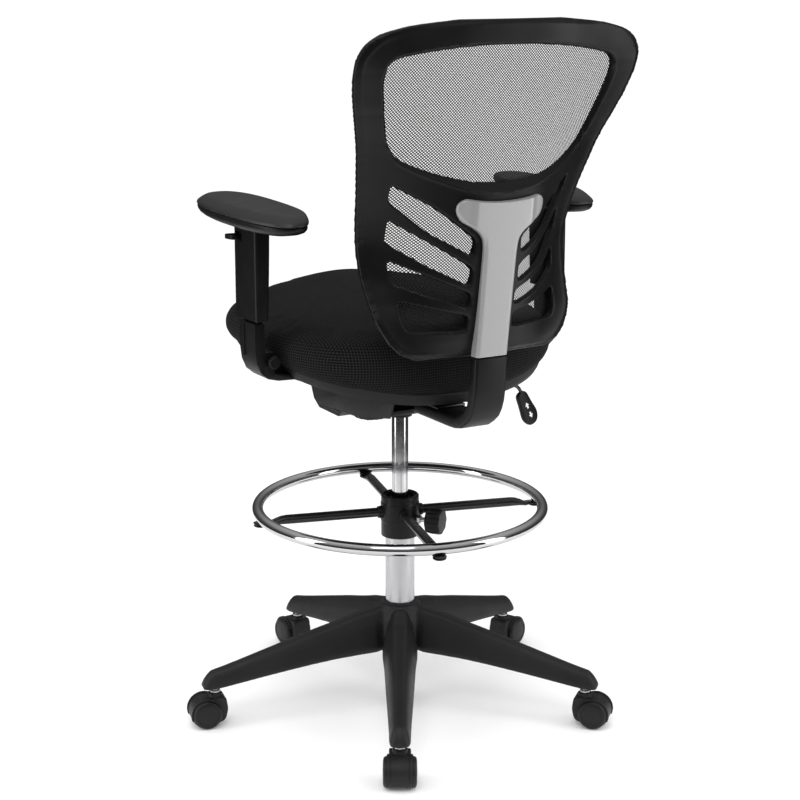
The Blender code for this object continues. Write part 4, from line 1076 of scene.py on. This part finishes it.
def make_sleeve(side, arm):
    """The upright: a hollow box, rounded and pinched on its inner side, with a window for the trigger."""
    outside, inside = ARM_X + 0.014, ARM_X - 0.013
    front, rear = ARM_Y - 0.04, ARM_Y + 0.04
    outer = rounded([(outside, front), (outside, rear), (inside, rear), (inside, front)], 0.0075, 6)
    rings = []
    for z, pinch, fall in ((ARM_LOW, 0.3, 0.0), (ARM_LOW + 0.0008, 0.22, 0.0), (ARM_LOW + 0.0025, 0.18, 0.0),
                           (0.74, 0.13, 0.0), (0.79, 0.06, 0.0), (0.83, 0.02, 0.0),
                           (PAD_BASE - 0.012, 0.0, 0.0), (PAD_BASE - 2 * GAP, 0.0, PAD_FALL)):
        dip = 0.0035 if z < ARM_LOW + 0.004 else 0.0
        rings.append([(x + (outside - x) * pinch, y, z - fall * (y - PAD_Y) - dip * (abs(y - ARM_Y) < 0.03))
                      for x, y in outer])
    sleeve = loose(f"{arm}_sleeve_skin", mirrored(loft(rings), side))
    x, y, z = 0.0055, 0.025, 0.837
    corners = ((-1, -1), (1, -1), (1, 1), (-1, 1))
    hollow = prism([(ARM_X + a * x, ARM_Y + b * y) for a, b in corners], 2, 0.7, 0.85)
    window = prism(rounded_box((ARM_Y - 0.0375, z), (ARM_Y - 0.0105, z + 0.014), 0.002, 3), 0,
                   outside - 0.0075, outside + 0.002)
    cut(sleeve, mirrored(hollow, side), mirrored(window, side))
    piece(sleeve, arm, "satin_plastic", f"{arm}_sleeve", angle=50)


def make_arm(side, arm):
    soften_node(f"{arm}_bracket", "satin_plastic", 0.0016, 25.0)
    make_sleeve(side, arm)
    make(f"{arm}_base_skin", mirrored(pad_form(TRAY_LEVELS), side), arm, "satin_plastic", f"{arm}_pad_base",
         angle=50)
    pad = remake(f"{arm}_pad", mirrored(pad_form(PAD_LEVELS), side), arm, "pad", angle=60)
    outline = mm([(11.5, -35), (30, -37), (32, -31), (28, -13), (11.5, -12)])
    outline = rounded([(ARM_X + x, ARM_Y + y) for x, y in outline], 0.004, 4)
    tab = soft_prism(outline, 2, 0.8395, 0.847, 0.0012)
    remake(f"{arm}_trigger", mirrored(tab, side), f"{arm}_release", "satin_plastic")
    place = Matrix.Translation((0.261, ARM_Y + 0.041 + GAP, 0.648)) @ turned_to(90, "X")
    grip = moved(ridged(GRIP_LEVELS, 0.0101, 12, 0.0004, 96), place)
    remake(f"{arm}_knob", mirrored(grip, side), f"{arm}_clamp", "satin_plastic")


# ---- stage --------
def area_light(name, place, size, power):
    """A soft box that looks at the chair's middle and doesn't show itself."""
    lamp = bpy.data.lights.new(name, "AREA")
    lamp.shape = "RECTANGLE"
    lamp.size, lamp.size_y = size
    lamp.energy = power
    made = in_scene(name, lamp)
    made.location = place
    made.rotation_euler = (Vector((0.0, 0.0, 0.7)) - Vector(place)).to_track_quat("-Z", "Y").to_euler()
    made.visible_camera = False


def sheet_of_paper(name, inner, outer, paper):
    """A flat ring of floor; the far one stays out of the gloss, as a paper sweep ends near the object."""
    form = bmesh.new()
    band(form, *[[form.verts.new((radius * cos(a), radius * sin(a), -0.0006)) for a in turn_steps(96)]
                 for radius in (inner, outer)])
    made = loose(name, form)
    made.data.materials.append(paper)
    return made


def make_stage():
    paper, shader = new_material("paper", (0.97, 0.97, 0.97), 0.9)
    settings(shader, Specular_IOR_Level=0.0)
    sheet_of_paper("floor", 0.0005, 1.5, paper)
    far = sheet_of_paper("floor_far", 1.5, 90.0, paper)
    far.visible_glossy = False
    world = bpy.data.worlds.new("studio")
    bpy.context.scene.world = world
    world.use_nodes = True
    tree = world.node_tree
    place = node(tree, "ShaderNodeTexCoord")
    split = node(tree, "ShaderNodeSeparateXYZ")
    tree.links.new(place.outputs["Generated"], split.inputs["Vector"])
    rise = math_node(tree, "MULTIPLY", math_node(tree, "ADD", split.outputs["Z"], 1.0), 0.5)
    room = ramp(tree, rise, [(0.0, 0.05), (0.5, 0.05), (0.62, 0.12), (0.75, 0.42), (1.0, 0.8)])
    gloss = node(tree, "ShaderNodeLightPath")
    choice = node(tree, "ShaderNodeMix", data_type="RGBA")
    tree.links.new(gloss.outputs["Is Glossy Ray"], choice.inputs["Factor"])
    plain, shaded = [socket for socket in choice.inputs if socket.type == "RGBA"]
    plain.default_value = (1.07, 1.07, 1.07, 1.0)
    tree.links.new(room, shaded)
    mixed = next(socket for socket in choice.outputs if socket.type == "RGBA")
    background = tree.nodes["Background"]
    tree.links.new(mixed, background.inputs["Color"])
    settings(background, Strength=1.0)
    area_light("key", (1.2, 1.6, 2.9), (1.4, 1.4), 22)
    area_light("left_panel", (1.50, -0.26, 0.8), (0.45, 1.5), 9)
    area_light("right_panel", (-0.98, 1.16, 0.8), (0.45, 1.5), 9)
    bpy.context.scene.view_settings.view_transform = "Standard"


def make_camera():
    """Behind the sitter's left shoulder, a little above the back's top, aimed down at the column."""
    azimuth, distance, height, pitch = radians(150), 3.008, 1.281, radians(13.77)
    away = Vector((sin(azimuth), -cos(azimuth), 0.0))
    camera = bpy.data.cameras.new("camera")
    camera.sensor_width = 36.0
    camera.lens = 82.9
    made = in_scene("camera", camera)
    made.location = AXIS + away * distance + Vector((0, 0, height))
    look = -away * cos(pitch) + Vector((0, 0, -sin(pitch)))
    made.rotation_euler = look.to_track_quat("-Z", "Y").to_euler()
    bpy.context.scene.camera = made


make_camera()
make_stage()
make_base()
for index, leg in enumerate(LEG_ANGLES, 1):
    make_caster(index, leg)
make_lift()
make_tension()
make_lever()
make_foot_ring()
make_shell()
make_cover()
make_cushion()
make_back()
make_net()
make_t_bar()
make_bracket()
make_arm(1, "arm_left")
make_arm(-1, "arm_right")
